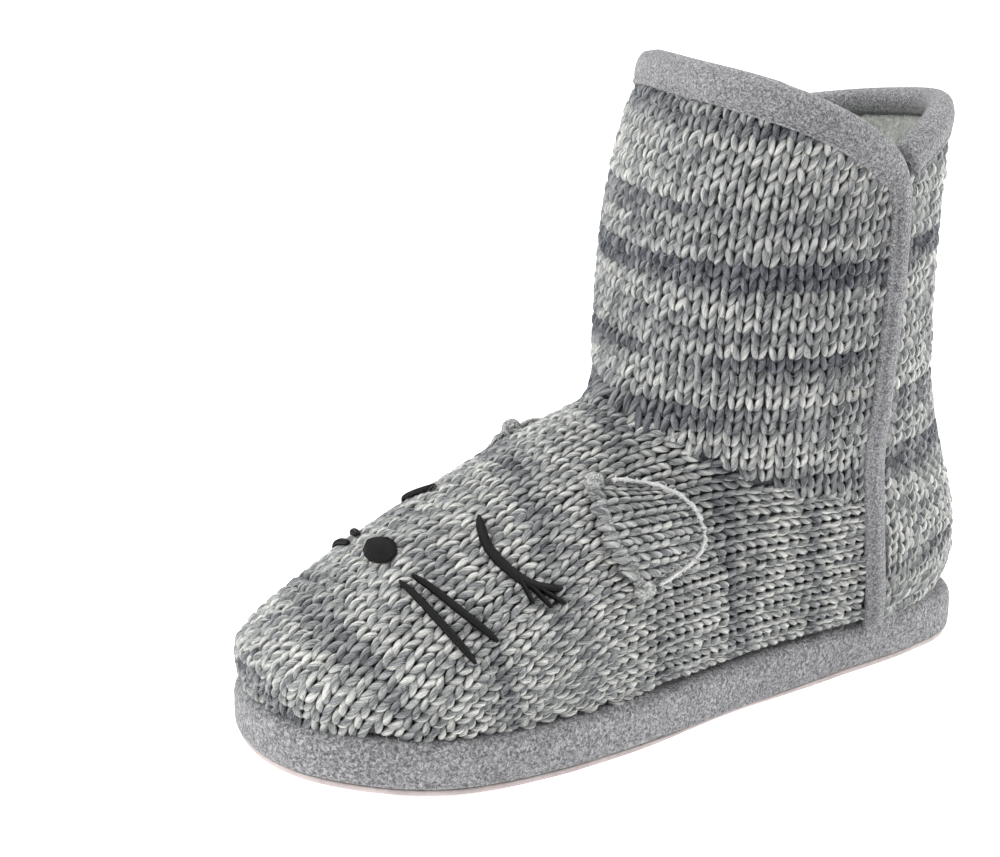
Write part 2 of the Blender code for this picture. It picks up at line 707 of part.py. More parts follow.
def build_thread(name, last, tree, rows, side, width, count, material, collection):
    """Raised satin-stitched line on the foot through rows of place and angle."""
    middle, normals = face_points(last, tree, smooth_rows(rows, count), side)
    ways = np.gradient(middle, axis=0)
    across = np.cross(normals, ways)
    across /= np.linalg.norm(across, axis=1, keepdims=True)
    share = np.linspace(-1.0, 1.0, count)
    half = width / 2 * np.sqrt(np.clip(1.0 - 0.8 * np.abs(share) ** 4, 0.1, 1.0))
    sections = []
    for point, normal, way, reach in zip(middle, normals, across, half):
        sections.append([
            point + normal * THREAD_GAP - way * reach,
            point + normal * THREAD_GAP + way * reach,
            point + normal * (THREAD_GAP + STITCH_HEIGHT * 0.6) + way * reach,
            point + normal * (THREAD_GAP + STITCH_HEIGHT),
            point + normal * (THREAD_GAP + STITCH_HEIGHT * 0.6) - way * reach,
        ])
    add_loft(name, sections, material, collection)


def build_nose(last, tree, material, collection):
    """Oval satin-stitched nose on the face's middle line."""
    centre, normals = face_points(last, tree, [(NOSE_PLACE, 0.0)], 1.0)
    centre, normal = centre[0], normals[0]
    across = np.cross(normal, np.array([0.0, -1.0, 0.0]))
    across /= np.linalg.norm(across)
    along = np.cross(normal, across)
    rings = []
    for height, share in ((0.0, 0.92), (0.35, 1.0), (0.75, 0.82), (1.0, 0.35)):
        ring = []
        for turn in np.linspace(0.0, 2 * math.pi, 20, endpoint=False):
            flat = across * math.cos(turn) * NOSE_WIDTH / 2 + along * math.sin(turn) * NOSE_LENGTH / 2
            foot = seated(tree, [centre + flat * share], [normal])[0]
            ring.append(foot + normal * (NOSE_GAP + STITCH_HEIGHT * height))
        rings.append(ring)
    add_loft("nose", rings, material, collection)


def ear_height(across, along):
    """Return the ear's thickness: a roll with knobbed ends, a soft dome and a thin edge."""
    roll = EAR_ROLL * math.exp(-(along / 0.16) ** 2) * (1.0 + 0.25 * abs(across) ** 6)
    dome = EAR_THICKNESS * (1.0 - 0.45 * along ** 4)
    return max(roll, dome)


def build_ear(name, last, tree, side, material, collection):
    """Knitted ear sewn to the vamp: straight rolled side to the toe, round side to the heel."""
    axis = np.array([float(last.middle(EAR_PLACE)), EAR_PLACE, FOOT_AXIS_HEIGHT])
    radius = float(np.linalg.norm(last.over_foot([EAR_PLACE], [EAR_ANGLE])[0] - axis))
    steps_across, steps_along = 14, 8
    lower, upper = [], []
    for i in range(steps_across + 1):
        across = -math.cos(math.pi * i / steps_across)
        line = EAR_PLACE + EAR_SLANT * across + EAR_BOW * across ** 2
        reach = EAR_DEPTH * (1.0 - across ** 2) + EAR_ROLL
        turn = math.degrees(across * EAR_WIDTH / 2 / radius)
        rows, heights = [], []
        for k in range(steps_along + 1):
            along = (k / steps_along) ** 1.25
            rows.append((line - EAR_ROLL / 2 + reach * along, EAR_ANGLE + turn))
            edge = 0.45 if k in (0, steps_along) or i in (0, steps_across) else 1.0
            heights.append(ear_height(across, along) * edge)
        points, normals = face_points(last, tree, rows, side)
        lower.append(points + normals * EAR_GAP)
        upper.append(points + normals * (EAR_GAP + np.array(heights)[:, None]))
    sections = [np.concatenate([low, high[::-1]]) for low, high in zip(lower, upper)]
    vertices, faces = loft(sections, closed_ends=False)
    count = 2 * (steps_along + 1)
    for base, flip in ((0, True), (steps_across * count, False)):
        for k in range(steps_along):
            cap = (base + k, base + k + 1, base + count - k - 2, base + count - k - 1)
            faces.append(cap[::-1] if flip else cap)
    mesh_object(name, vertices, turned_outward(vertices, faces), material, collection)


def centre_on_floor(collection):
    """Move the pieces so that the middle of their common box is over the origin."""
    points = np.array([vertex.co for part in collection.objects for vertex in part.data.vertices])
    middle = (points.min(axis=0) + points.max(axis=0)) / 2
    for part in collection.objects:
        part.data.transform(Matrix.Translation((-middle[0], -middle[1], 0.0)))


def main():
    """Build the slipper's pieces."""
    for item in list(bpy.data.objects):
        bpy.data.objects.remove(item, do_unlink=True)
    collection = bpy.data.collections.new("bootie_slipper")
    bpy.context.scene.collection.children.link(collection)

    suede = (0.262, 0.262, 0.287)
    knit = (0.335, 0.345, 0.350)
    fleece = (0.560, 0.578, 0.546)
    thread = (0.010, 0.010, 0.012)

    last = Last()
    grid = UpperGrid(last)
    tree = grid.wall_tree()
    build_outsole(plain_material("outsole_rubber", (0.80, 0.73, 0.70), 0.6), collection)
    build_midsole(plain_material("platform_suede", suede, 0.9), collection)
    build_insole(grid, plain_material("footbed_fleece", fleece, 0.95), collection)
    build_upper(grid, plain_material("upper_knit", knit, 0.9), collection)
    build_collar_bindings(grid, plain_material("collar_suede", suede, 0.9), collection)
    for name, side in (("side_binding_outer", 1), ("side_binding_inner", -1)):
        build_side_binding(name, grid, side, plain_material(name + "_suede", suede, 0.9), collection)
    for label, side in (("outer", 1.0), ("inner", -1.0)):
        stitch = plain_material("stitch_" + label, thread, 0.5)
        build_ear("ear_" + label, last, tree, side, plain_material("ear_knit_" + label, knit, 0.9), collection)
        build_thread("eye_" + label, last, tree, EYE_ROWS, side, EYE_WIDTH, 12, stitch, collection)
        build_thread("front_whisker_" + label, last, tree, FRONT_WHISKER, side, WHISKER_WIDTH, 9, stitch, collection)
        build_thread("back_whisker_" + label, last, tree, BACK_WHISKER, side, WHISKER_WIDTH, 9, stitch, collection)
    build_nose(last, tree, plain_material("stitch_nose", thread, 0.5), collection)
    centre_on_floor(collection)


main()
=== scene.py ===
"""Bootie slipper, the left shoe of a pair: its knit, suede, fleece and embroidery.

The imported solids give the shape. Knit, bindings, lining, ears and embroidery are modelled over
them on the same last. Metres, +Z up, the toe along -Y and +X on the outer side of the foot.
"""
import logging
import math
from dataclasses import dataclass, field
from enum import Enum
from typing import Any, Callable, Iterator, Optional, Sequence

import bpy
import numpy as np
from mathutils import Matrix

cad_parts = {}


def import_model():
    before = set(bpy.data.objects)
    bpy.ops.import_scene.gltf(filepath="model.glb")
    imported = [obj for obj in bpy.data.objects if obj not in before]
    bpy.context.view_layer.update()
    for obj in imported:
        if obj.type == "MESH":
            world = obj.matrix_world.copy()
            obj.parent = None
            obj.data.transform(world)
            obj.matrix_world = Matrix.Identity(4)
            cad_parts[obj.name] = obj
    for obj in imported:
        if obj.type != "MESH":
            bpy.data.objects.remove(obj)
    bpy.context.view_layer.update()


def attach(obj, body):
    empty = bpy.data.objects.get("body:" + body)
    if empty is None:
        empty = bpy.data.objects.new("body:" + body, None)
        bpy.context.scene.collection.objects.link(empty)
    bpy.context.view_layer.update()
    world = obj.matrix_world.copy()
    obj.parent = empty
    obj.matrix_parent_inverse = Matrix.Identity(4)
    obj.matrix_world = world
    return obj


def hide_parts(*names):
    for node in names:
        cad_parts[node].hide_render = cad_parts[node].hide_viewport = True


log = logging.getLogger("bootie_slipper")

Array = np.ndarray

# Sole outline: place along the length from the toe, outer and inner half width in metres.
OUTLINE_ROWS = (
    (0.018, 0.01536, 0.02477),
    (0.065, 0.02976, 0.03571),
    (0.15, 0.04349, 0.04368),
    (0.28, 0.04944, 0.04819),
    (0.42, 0.04877, 0.04224),
    (0.58, 0.04430, 0.03761),
    (0.74, 0.04016, 0.03726),
    (0.88, 0.03698, 0.03657),
    (0.965, 0.03002, 0.02691),
)
# Ridge of the foot: place along the length and height.
RIDGE_ROWS = (
    (0.0, 0.031), (0.02, 0.03898), (0.07, 0.050), (0.16, 0.06526), (0.28, 0.08058),
    (0.40, 0.09622), (0.50, 0.103), (1.0, 0.103),
)
# Shaft and heel: height, front, back, half width and middle.
SHAFT_ROWS = (
    (0.018, 0.01998, 0.13338, 0.03893, -0.0004),
    (0.030, 0.01188, 0.13770, 0.04172, 0.0),
    (0.042, 0.00497, 0.13630, 0.04285, 0.0006),
    (0.075, -0.00238, 0.12312, 0.04491, 0.0025),
    (0.105, -0.00346, 0.11124, 0.04923, 0.0040),
    (0.150, -0.00032, 0.10735, 0.05150, 0.0042),
    (0.180, 0.00497, 0.10800, 0.04996, 0.0048),
    (0.205, 0.01350, 0.10206, 0.04553, 0.0068),
)
# Ankle seam: degrees from the front, seen from above, and height.
ANKLE_ROWS = (
    (0.0, 0.1022), (10.8, 0.0989), (19.3, 0.0938), (26.8, 0.0884), (36.9, 0.0814), (49.3, 0.0755),
    (65.5, 0.0703), (87.8, 0.0675), (180.0, 0.0670),
)


def smooth_table(rows: Sequence[tuple[float, float]]) -> Callable[[Any], Any]:
    """Make a smooth function through rows of place and value, without overshoot.

    Args:
        rows: Places in rising order, each with its value.

    Returns:
        A function of place that also takes arrays.
    """
    places = np.array([row[0] for row in rows])
    values = np.array([row[1] for row in rows])
    steps = np.diff(places)
    slopes = np.diff(values) / steps
    tangents = np.zeros(len(places))
    same_way = slopes[1:] * slopes[:-1] > 0
    sums = np.where(same_way, slopes[1:] + slopes[:-1], 1.0)
    tangents[1:-1] = np.where(same_way, 2 * slopes[1:] * slopes[:-1] / sums, 0.0)
    tangents[0], tangents[-1] = slopes[0], slopes[-1]

    def value_at(place: Any) -> Any:
        """Return the value at a place."""
        place = np.clip(place, places[0], places[-1])
        k = np.clip(np.searchsorted(places, place) - 1, 0, len(steps) - 1)
        t = (place - places[k]) / steps[k]
        return ((2 * t ** 3 - 3 * t ** 2 + 1) * values[k]
                + (t ** 3 - 2 * t ** 2 + t) * steps[k] * tangents[k]
                + (3 * t ** 2 - 2 * t ** 3) * values[k + 1]
                + (t ** 3 - t ** 2) * steps[k] * tangents[k + 1])

    return value_at


def closed_curve(points: Array, per_span: int = 16) -> Array:
    """Make a dense closed centripetal curve.

    Args:
        points: The points that the curve goes through.
        per_span: Steps between two of them.

    Returns:
        The curve's points.
    """
    count = len(points)
    spans = []
    for i in range(count):
        p0, p1, p2, p3 = (points[(i + k) % count] for k in (-1, 0, 1, 2))
        t1 = math.sqrt(np.linalg.norm(p1 - p0))
        t2 = t1 + math.sqrt(np.linalg.norm(p2 - p1))
        t3 = t2 + math.sqrt(np.linalg.norm(p3 - p2))
        t = np.linspace(t1, t2, per_span, endpoint=False)[:, None]
        a1 = (t1 - t) / t1 * p0 + t / t1 * p1
        a2 = (t2 - t) / (t2 - t1) * p1 + (t - t1) / (t2 - t1) * p2
        a3 = (t3 - t) / (t3 - t2) * p2 + (t - t2) / (t3 - t2) * p3
        b1 = (t2 - t) / t2 * a1 + t / t2 * a2
        b2 = (t3 - t) / (t3 - t1) * a2 + (t - t1) / (t3 - t1) * a3
        spans.append((t2 - t) / (t2 - t1) * b1 + (t - t1) / (t2 - t1) * b2)
    return np.concatenate(spans)


def unit(vectors: Array) -> Array:
    """Return vectors at length one."""
    return vectors / np.maximum(np.linalg.norm(vectors, axis=-1, keepdims=True), 1e-12)


def path_lengths(points: Array) -> Array:
    """Return each point's distance along the path through the points."""
    return np.concatenate([[0.0], np.cumsum(np.linalg.norm(np.diff(points, axis=0), axis=1))])


def along_path(marks: Any, way: Array, points: Array) -> Array:
    """Return the points at distances along a path, where way is the distance of each of its points."""
    return np.stack([np.interp(marks, way, column) for column in points.T], -1)


def evenly(points: Array, step: float) -> Array:
    """Return points spread evenly along a path, about a step apart."""
    way = path_lengths(points)
    return along_path(np.linspace(0.0, way[-1], max(2, int(round(way[-1] / step)) + 1)), way, points)


@dataclass
class Outline:
    """The sole's outline from above, drawn in by an inset."""

    inset: float = 0.0
    length: float = 0.265

    def __post_init__(self) -> None:
        """Work out the two sides of the outline."""
        self.toe = -self.length / 2 + self.inset
        self.heel = self.length / 2 - self.inset
        outer = [(half - self.inset, self.length * (place - 0.5)) for place, half, _ in OUTLINE_ROWS]
        inner = [(self.inset - half, self.length * (place - 0.5)) for place, _, half in OUTLINE_ROWS]
        points = [(-0.0023, self.toe)] + outer + [(0.0, self.heel)] + inner[::-1]
        curve = closed_curve(np.array(points))
        turn = int(np.argmax(curve[:, 1]))
        self.outer = curve[:turn + 1]
        self.inner = np.concatenate([curve[turn:], curve[:1]])[::-1]

    def sides(self, y: Array) -> tuple[Array, Array]:
        """Return x on the outer and on the inner side at y."""
        y = np.clip(y, self.toe, self.heel)
        return (np.interp(y, self.outer[:, 1], self.outer[:, 0]),
                np.interp(y, self.inner[:, 1], self.inner[:, 0]))

    def ring(self, step: float) -> Array:
        """Return the closed outline with its points a step apart."""
        loop = np.concatenate([self.outer, self.inner[::-1][1:]])
        return evenly(loop, step)[:-1]


@dataclass
class Last:
    """The form under the upper's outer surface: a foot joined smoothly to a shaft."""

    sole_height: float = 0.018
    widest_height: float = 0.031
    foot_axis: float = 0.029
    foot_end: float = 0.085
    wall: float = 0.004
    tuck: float = 0.0018
    blend: float = 0.009
    vamp_power: float = 1.85
    shaft_power: float = 2.25
    collar_power: float = 1.32
    front_height: float = 0.2062
    back_height: float = 0.190
    back_tilt: float = 0.009
    back_tuck: float = 0.006
    notch_height: float = 0.177
    seam_y: float = 0.065
    shaft_offset: float = 0.004
    shaft_width: float = 0.103
    toe_spring: float = 0.0045
    spring_length: float = 0.070
    face_turn: float = 2.0
    probe: float = 3e-4
    farthest: float = 0.22
    halvings: int = 26
    lap: float = 0.0012
    place: tuple[float, float, float] = (-0.004244, -0.001914, 0.0)

    def __post_init__(self) -> None:
        """Make the smooth tables."""
        self.plan = Outline(0.0012)
        self.ridge = smooth_table(RIDGE_ROWS)
        self.front, self.back, self.half, self.offset = (
            smooth_table([(row[0], row[k]) for row in SHAFT_ROWS]) for k in range(1, 5))
        self.seam = smooth_table([(self.sole_height, 0.081), (0.062, 0.0725),
                                  (0.103, self.seam_y), (self.notch_height, self.seam_y)])
        self.shift = np.array(self.place)

    def foot(self, x: Array, y: Array, z: Array) -> Array:
        """Return a signed depth, below zero inside the foot."""
        outer, inner = self.plan.sides(y)
        under = np.clip(self.widest_height - z, 0.0, None) / (self.widest_height - self.sole_height)
        half = np.maximum((outer - inner) / 2 - self.tuck * under ** 2, 5e-4)
        share = (np.clip(y, self.plan.toe, self.plan.heel) + self.plan.length / 2) / self.plan.length
        rise = np.maximum(self.ridge(share) - self.widest_height, 5e-4)
        across = np.abs(x - (outer + inner) / 2) / half
        up = np.clip(z - self.widest_height, 0.0, None) / rise
        depth = (across ** self.vamp_power + up ** self.vamp_power) ** (1 / self.vamp_power) - 1
        depth = depth * np.minimum(half, rise + self.wall)
        return np.maximum(depth, np.maximum(self.plan.toe - y, y - self.foot_end))

    def shaft(self, x: Array, y: Array, z: Array) -> Array:
        """Return a signed depth, below zero inside the shaft and heel."""
        front, back, half = self.front(z), self.back(z), self.half(z)
        across = np.abs(x - self.offset(z)) / half
        along = np.abs(y - (front + back) / 2) / ((back - front) / 2)
        depth = (across ** self.shaft_power + along ** self.shaft_power) ** (1 / self.shaft_power) - 1
        return depth * np.minimum(half, (back - front) / 2)

    def depth(self, points: Array) -> Array:
        """Return the signed depth of the smooth join of foot and shaft."""
        x, y, z = points[..., 0], points[..., 1], points[..., 2]
        foot, shaft = self.foot(x, y, z), self.shaft(x, y, z)
        share = np.clip(0.5 + 0.5 * (shaft - foot) / self.blend, 0.0, 1.0)
        return shaft + (foot - shaft) * share - self.blend * share * (1 - share)

    def reach(self, start: Array, way: Array) -> Array:
        """Return where rays leave the form.

        Args:
            start: Points inside the form.
            way: Unit directions.

        Returns:
            The points on the form's surface.
        """
        near = np.zeros(start.shape[:-1])
        far = np.full(start.shape[:-1], self.farthest)
        for _ in range(self.halvings):
            middle = (near + far) / 2
            inside = self.depth(start + way * middle[..., None]) < 0
            near = np.where(inside, middle, near)
            far = np.where(inside, far, middle)
        return start + way * far[..., None]

    def normals(self, points: Array) -> Array:
        """Return the outward unit normals at points on the form."""
        slope = [self.depth(points + axis) - self.depth(points - axis) for axis in np.eye(3) * self.probe]
        return unit(np.stack(slope, -1))

    def settled(self, points: Array) -> tuple[Array, Array]:
        """Return points moved onto the form along its slope, and their normals."""
        for _ in range(3):
            normals = self.normals(points)
            step = normals * self.probe
            slope = (self.depth(points + step) - self.depth(points - step)) / (2 * self.probe)
            points = points - normals * (self.depth(points) / np.maximum(slope, 0.2))[..., None]
        return points, self.normals(points)

    def around(self, angles: Array, z: Array) -> Array:
        """Return points at angles from the front, towards the outer side, at heights z."""
        angles, z = np.broadcast_arrays(np.asarray(angles, float), np.asarray(z, float))
        start = np.stack([np.full(z.shape, self.shaft_offset), np.full(z.shape, self.seam_y), z], -1)
        way = np.stack([np.sin(angles), -np.cos(angles), np.zeros(z.shape)], -1)
        return self.reach(start, way)

    def over_foot(self, y: Array, degrees: Array) -> Array:
        """Return points of the foot at y and an angle from straight up towards the outer side."""
        y, degrees = np.broadcast_arrays(np.asarray(y, float), np.asarray(degrees, float))
        turn = np.radians(degrees)
        outer, inner = self.plan.sides(y)
        start = np.stack([(outer + inner) / 2, y, np.full(y.shape, self.foot_axis)], -1)
        way = np.stack([np.sin(turn), np.zeros(y.shape), np.cos(turn)], -1)
        return self.reach(start, way)

    def collar(self, points: Array, front: bool) -> Array:
        """Return the height of the front or back panel's top edge over points."""
        x, y = points[..., 0], points[..., 1]
        low, high = float(self.front(self.front_height)), float(self.back(self.back_height))
        if front:
            share = np.clip((y - low) / (self.seam_y - low), 0.0, 1.0)
            top = self.front_height
        else:
            share = np.clip((high - y) / (high - self.seam_y + self.back_tuck), 0.0, 1.0)
            top = self.back_height + self.back_tilt * (x - self.shaft_offset) / (self.shaft_width / 2)
        drop = (1 - share ** self.collar_power) ** (1 / self.collar_power)
        return self.notch_height + (top - self.notch_height) * drop

    def notch(self) -> float:
        """Return the height of the point where the two panels' edges meet."""
        low, high = float(self.front(self.front_height)), self.seam_y
        for _ in range(40):
            y = (low + high) / 2
            point = np.array([self.shaft_offset, y, 0.0])
            if self.collar(point, True) > self.collar(point, False):
                low = y
            else:
                high = y
        return float(self.collar(np.array([self.shaft_offset, low, 0.0]), True))

    def spring(self, y: Array) -> Array:
        """Return the toe spring at y."""
        share = np.clip((-self.plan.length / 2 + self.spring_length - y) / self.spring_length, 0.0, 1.0)
        return self.toe_spring * share ** 2

    def placed(self, points: Array) -> Array:
        """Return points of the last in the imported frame, lifted near the sole with the toe spring."""
        fade = np.clip(1.0 - (points[..., 2] - self.sole_height) / self.widest_height, 0.0, 1.0)
        out = points + self.shift
        out[..., 2] += self.spring(points[..., 1]) * fade
        return out


class Region(Enum):
    """The upper's two halves on either side of the overlap's edge."""

    FRONT = 0
    BACK = 1


@dataclass
class Wrap:
    """Even columns round the last, with the overlap's edge as a column of its own."""

    last: Last
    level_count: int = 96
    share_count: int = 41

    def __post_init__(self) -> None:
        """Tabulate the angle of each share of the way round, at each level and on each side."""
        last = self.last
        self.levels = np.linspace(0.0165, 0.2085, self.level_count)
        turns = np.linspace(0.0, math.pi, 260)
        shares = np.linspace(0.0, 1.0, self.share_count)
        self.table: dict[tuple[Region, int], Array] = {}
        for side in (1, -1):
            rings = last.around(side * turns[None, :], self.levels[:, None])
            fronts, backs = [], []
            for ring, level in zip(rings, self.levels):
                way = path_lengths(ring)
                edge = np.interp(float(last.seam(level)), ring[:, 1], way)
                fronts.append(np.interp(shares * edge, way, turns))
                backs.append(np.interp(edge + shares * (way[-1] - edge), way, turns))
            self.table[(Region.FRONT, side)] = np.array(fronts)
            self.table[(Region.BACK, side)] = np.array(backs)

    def point(self, region: Region, side: int, share: Array, z: Array) -> Array:
        """Return points of the upper.

        Args:
            region: Front or back of the overlap's edge.
            side: 1 on the outer side, -1 on the inner.
            share: Share of the way from the front or from the edge.
            z: Height.

        Returns:
            The points on the last.
        """
        share, z = np.broadcast_arrays(np.asarray(share, float), np.asarray(z, float))
        table = self.table[(region, side)]
        row = np.clip((z - self.levels[0]) / (self.levels[1] - self.levels[0]), 0, self.level_count - 1.001)
        column = np.clip(share * (self.share_count - 1), 0, self.share_count - 1.001)
        i, j = row.astype(int), column.astype(int)
        a, b = row - i, column - j
        angle = ((table[i, j] * (1 - b) + table[i, j + 1] * b) * (1 - a)
                 + (table[i + 1, j] * (1 - b) + table[i + 1, j + 1] * b) * a)
        return self.last.around(side * angle, z)

    def share_of(self, points: Array) -> Array:
        """Return each point's signed share of the way from the front to the edge, over 1 behind it."""
        last = self.last
        z = points[:, 2]
        angle = np.arctan2(points[:, 0] - last.shaft_offset, last.seam_y - points[:, 1])
        rows = np.round((z - self.levels[0]) / (self.levels[1] - self.levels[0]))
        rows = np.clip(rows, 0, self.level_count - 1).astype(int)
        shares = np.linspace(0.0, 1.0, self.share_count)
        out = np.zeros(len(points))
        for k, (turn, row) in enumerate(zip(angle, rows)):
            side = 1 if turn >= 0 else -1
            table = self.table[(Region.FRONT, side)][row]
            inside = abs(turn) <= table[-1]
            share = np.interp(abs(turn), table, shares) if inside else 1.0 + abs(turn) - table[-1]
            out[k] = side * share
        return out

    def rim(self, region: Region, side: int, share: Array) -> Array:
        """Return the collar's height at each share of the way."""
        share = np.asarray(share, float)
        z = np.full(share.shape, self.last.notch_height)
        for _ in range(8):
            z = self.last.collar(self.point(region, side, share, z), region is Region.FRONT)
        return z

    def ankle(self, points: Array) -> Array:
        """Return the ankle seam's height at the points' angles from the front, seen from above."""
        side = np.abs(points[:, 0] - self.last.shaft_offset)
        angle = np.degrees(np.arctan2(side, self.last.seam_y - points[:, 1]))
        return np.interp(angle, *zip(*ANKLE_ROWS))


@dataclass
class Patch:
    """A grid of points on a surface, with normals and knit coordinates in wales and courses."""

    points: Array
    normals: Array
    wales: Array
    courses: Array
    marks: Array

    def lattice(self) -> "Lattice":
        """Return the places of the stitches, one in the middle of each wale and course."""
        rows, columns = self.points.shape[:2]
        flat = self.points.reshape(-1, 3)
        normals = self.normals.reshape(-1, 3)
        knit = np.stack([self.wales.ravel(), self.courses.ravel()], -1)
        marks = self.marks.reshape(len(flat), -1)
        out = Lattice()
        for i in range(rows - 1):
            for j in range(columns - 1):
                a = i * columns + j
                for corners in ([a, a + 1, a + columns + 1], [a, a + columns + 1, a + columns]):
                    out.add_triangle(flat[corners], normals[corners], knit[corners], marks[corners])
        return out


@dataclass
class Lattice:
    """Places where a unit is repeated on a surface, with its directions and sizes."""

    places: list[Array] = field(default_factory=list)
    normals: list[Array] = field(default_factory=list)
    ways: list[Array] = field(default_factory=list)
    sizes: list[tuple[float, float, float]] = field(default_factory=list)
    knit: list[tuple[int, int]] = field(default_factory=list)
    marks: list[Array] = field(default_factory=list)

    def add(self, place: Array, normal: Array, way: Array, size: tuple[float, float, float],
            knit: tuple[int, int] = (0, 0), marks: Sequence[float] = (0.0, 0.0)) -> None:
        """Add one unit."""
        self.places.append(place)
        self.normals.append(normal)
        self.ways.append(way)
        self.sizes.append(size)
        self.knit.append(knit)
        self.marks.append(marks)

    def add_triangle(self, points: Array, normals: Array, knit: Array, marks: Array) -> None:
        """Add the stitches whose middle lies in one triangle."""
        low, high = knit.min(axis=0), knit.max(axis=0)
        first = np.ceil(low - 0.5).astype(int)
        final = np.ceil(high - 0.5).astype(int)
        if (final <= first).any():
            return
        edges = np.stack([knit[1] - knit[0], knit[2] - knit[0]])
        if abs(np.linalg.det(edges)) < 1e-9:
            return
        inverse = np.linalg.inv(edges)
        rise = inverse @ np.stack([points[1] - points[0], points[2] - points[0]])
        size = (float(np.linalg.norm(rise[0])), float(np.linalg.norm(rise[1])), 1.0)
        for i in range(first[0], final[0]):
            for j in range(first[1], final[1]):
                share = (np.array([i + 0.5, j + 0.5]) - knit[0]) @ inverse
                if share.min() >= 0 and share.sum() < 1:
                    weights = np.array([1 - share.sum(), share[0], share[1]])
                    self.add(weights @ points, weights @ normals, rise[1], size, (i, j), weights @ marks)

    def mark_columns(self) -> tuple[Array, Array]:
        """Return the units' two marks as columns."""
        marks = np.array(self.marks)
        return marks[:, 0], marks[:, 1]

    def thin(self, mask: Array) -> None:
        """Keep the units that a mask names."""
        for name in ("places", "normals", "ways", "sizes", "knit", "marks"):
            setattr(self, name, [item for item, kept in zip(getattr(self, name), mask) if kept])

    def loosen(self, seed: int, shift: float, swell: float) -> None:
        """Move and size the units by a little chance, as hand-fed yarn lies."""
        chance = np.random.default_rng(seed)
        self.places = [place + chance.normal(0.0, shift, 3) for place in self.places]
        self.sizes = [tuple(value * chance.uniform(1 - swell, 1 + swell) for value in size)
                      for size in self.sizes]

    def settle(self, last: Last, depth: float) -> None:
        """Sink the units under the last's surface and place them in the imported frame."""
        normals = unit(np.array(self.normals))
        self.normals = list(normals)
        self.places = list(last.placed(np.array(self.places) - normals * depth))


def linear(color: str) -> tuple[float, float, float, float]:
    """Turn an sRGB hex value into linear red, green, blue and alpha."""
    parts = [int(color[k:k + 2], 16) / 255 for k in (1, 3, 5)]
    return tuple(part / 12.92 if part <= 0.04045 else ((part + 0.055) / 1.055) ** 2.4
                 for part in parts) + (1.0,)


def add_node(tree: bpy.types.NodeTree, kind: str, settings: Optional[dict[str, Any]] = None,
             inputs: Optional[dict[Any, Any]] = None) -> bpy.types.Node:
    """Add a node to a tree.

    Args:
        tree: The material's or modifier's tree.
        kind: The node's type.
        settings: The node's own properties.
        inputs: A value or another node's output for each input, by name or number.

    Returns:
        The node.
    """
    node = tree.nodes.new(kind)
    for name, value in (settings or {}).items():
        setattr(node, name, value)
    for name, value in (inputs or {}).items():
        if isinstance(value, bpy.types.NodeSocket):
            tree.links.new(value, node.inputs[name])
        else:
            node.inputs[name].default_value = value
    return node


class Shading:
    """A material in the making, with the nodes that the finishes share."""

    def __init__(self, name: str, roughness: float, sheen: float) -> None:
        """Make the material and its object coordinates."""
        self.material = bpy.data.materials.new(name)
        self.material.use_nodes = True
        self.tree = self.material.node_tree
        self.shader = self.tree.nodes["Principled BSDF"]
        self.shader.inputs["Roughness"].default_value = roughness
        self.shader.inputs["Sheen Weight"].default_value = sheen
        self.shader.inputs["Sheen Roughness"].default_value = 0.5
        self.place = add_node(self.tree, "ShaderNodeTexCoord").outputs["Object"]

    def calc(self, operation: str, *values: Any, clamp: bool = False) -> bpy.types.NodeSocket:
        """Return the output of a math node over numbers or other outputs."""
        settings = {"operation": operation, "use_clamp": clamp}
        return add_node(self.tree, "ShaderNodeMath", settings, dict(enumerate(values))).outputs[0]

    def noise(self, scale: float, detail: float, distortion: float = 0.0,
              vector: Optional[bpy.types.NodeSocket] = None) -> bpy.types.NodeSocket:
        """Return noise over the object coordinates or another vector."""
        inputs = {"Vector": self.place if vector is None else vector, "Scale": scale, "Detail": detail,
                  "Distortion": distortion}
        return add_node(self.tree, "ShaderNodeTexNoise", inputs=inputs).outputs[0]

    def ramp(self, value: bpy.types.NodeSocket, *stops: tuple[float, str]) -> bpy.types.NodeSocket:
        """Return the output of a colour ramp, whose stops are each a place and an sRGB hex value."""
        node = add_node(self.tree, "ShaderNodeValToRGB", inputs={0: value})
        ramp = node.color_ramp
        while len(ramp.elements) < len(stops):
            ramp.elements.new(0.5)
        for element, (place, color) in zip(ramp.elements, stops):
            element.position = place
            element.color = linear(color)
        return node.outputs[0]

    def mix(self, share: Any, first: Any, second: Any, blend: str = "MIX") -> bpy.types.NodeSocket:
        """Return two colours mixed by a share."""
        settings = {"data_type": "RGBA", "blend_type": blend, "clamp_factor": True}
        return add_node(self.tree, "ShaderNodeMix", settings, {0: share, 6: first, 7: second}).outputs[2]

    def paint(self, color: Any, height: Any, strength: float, distance: float) -> bpy.types.Material:
        """Join a colour and a relief to the shader and return the material."""
        self.tree.links.new(color, self.shader.inputs["Base Color"])
        bump = add_node(self.tree, "ShaderNodeBump",
                        inputs={"Strength": strength, "Distance": distance, "Height": height})
        self.tree.links.new(bump.outputs[0], self.shader.inputs["Normal"])
        return self.material


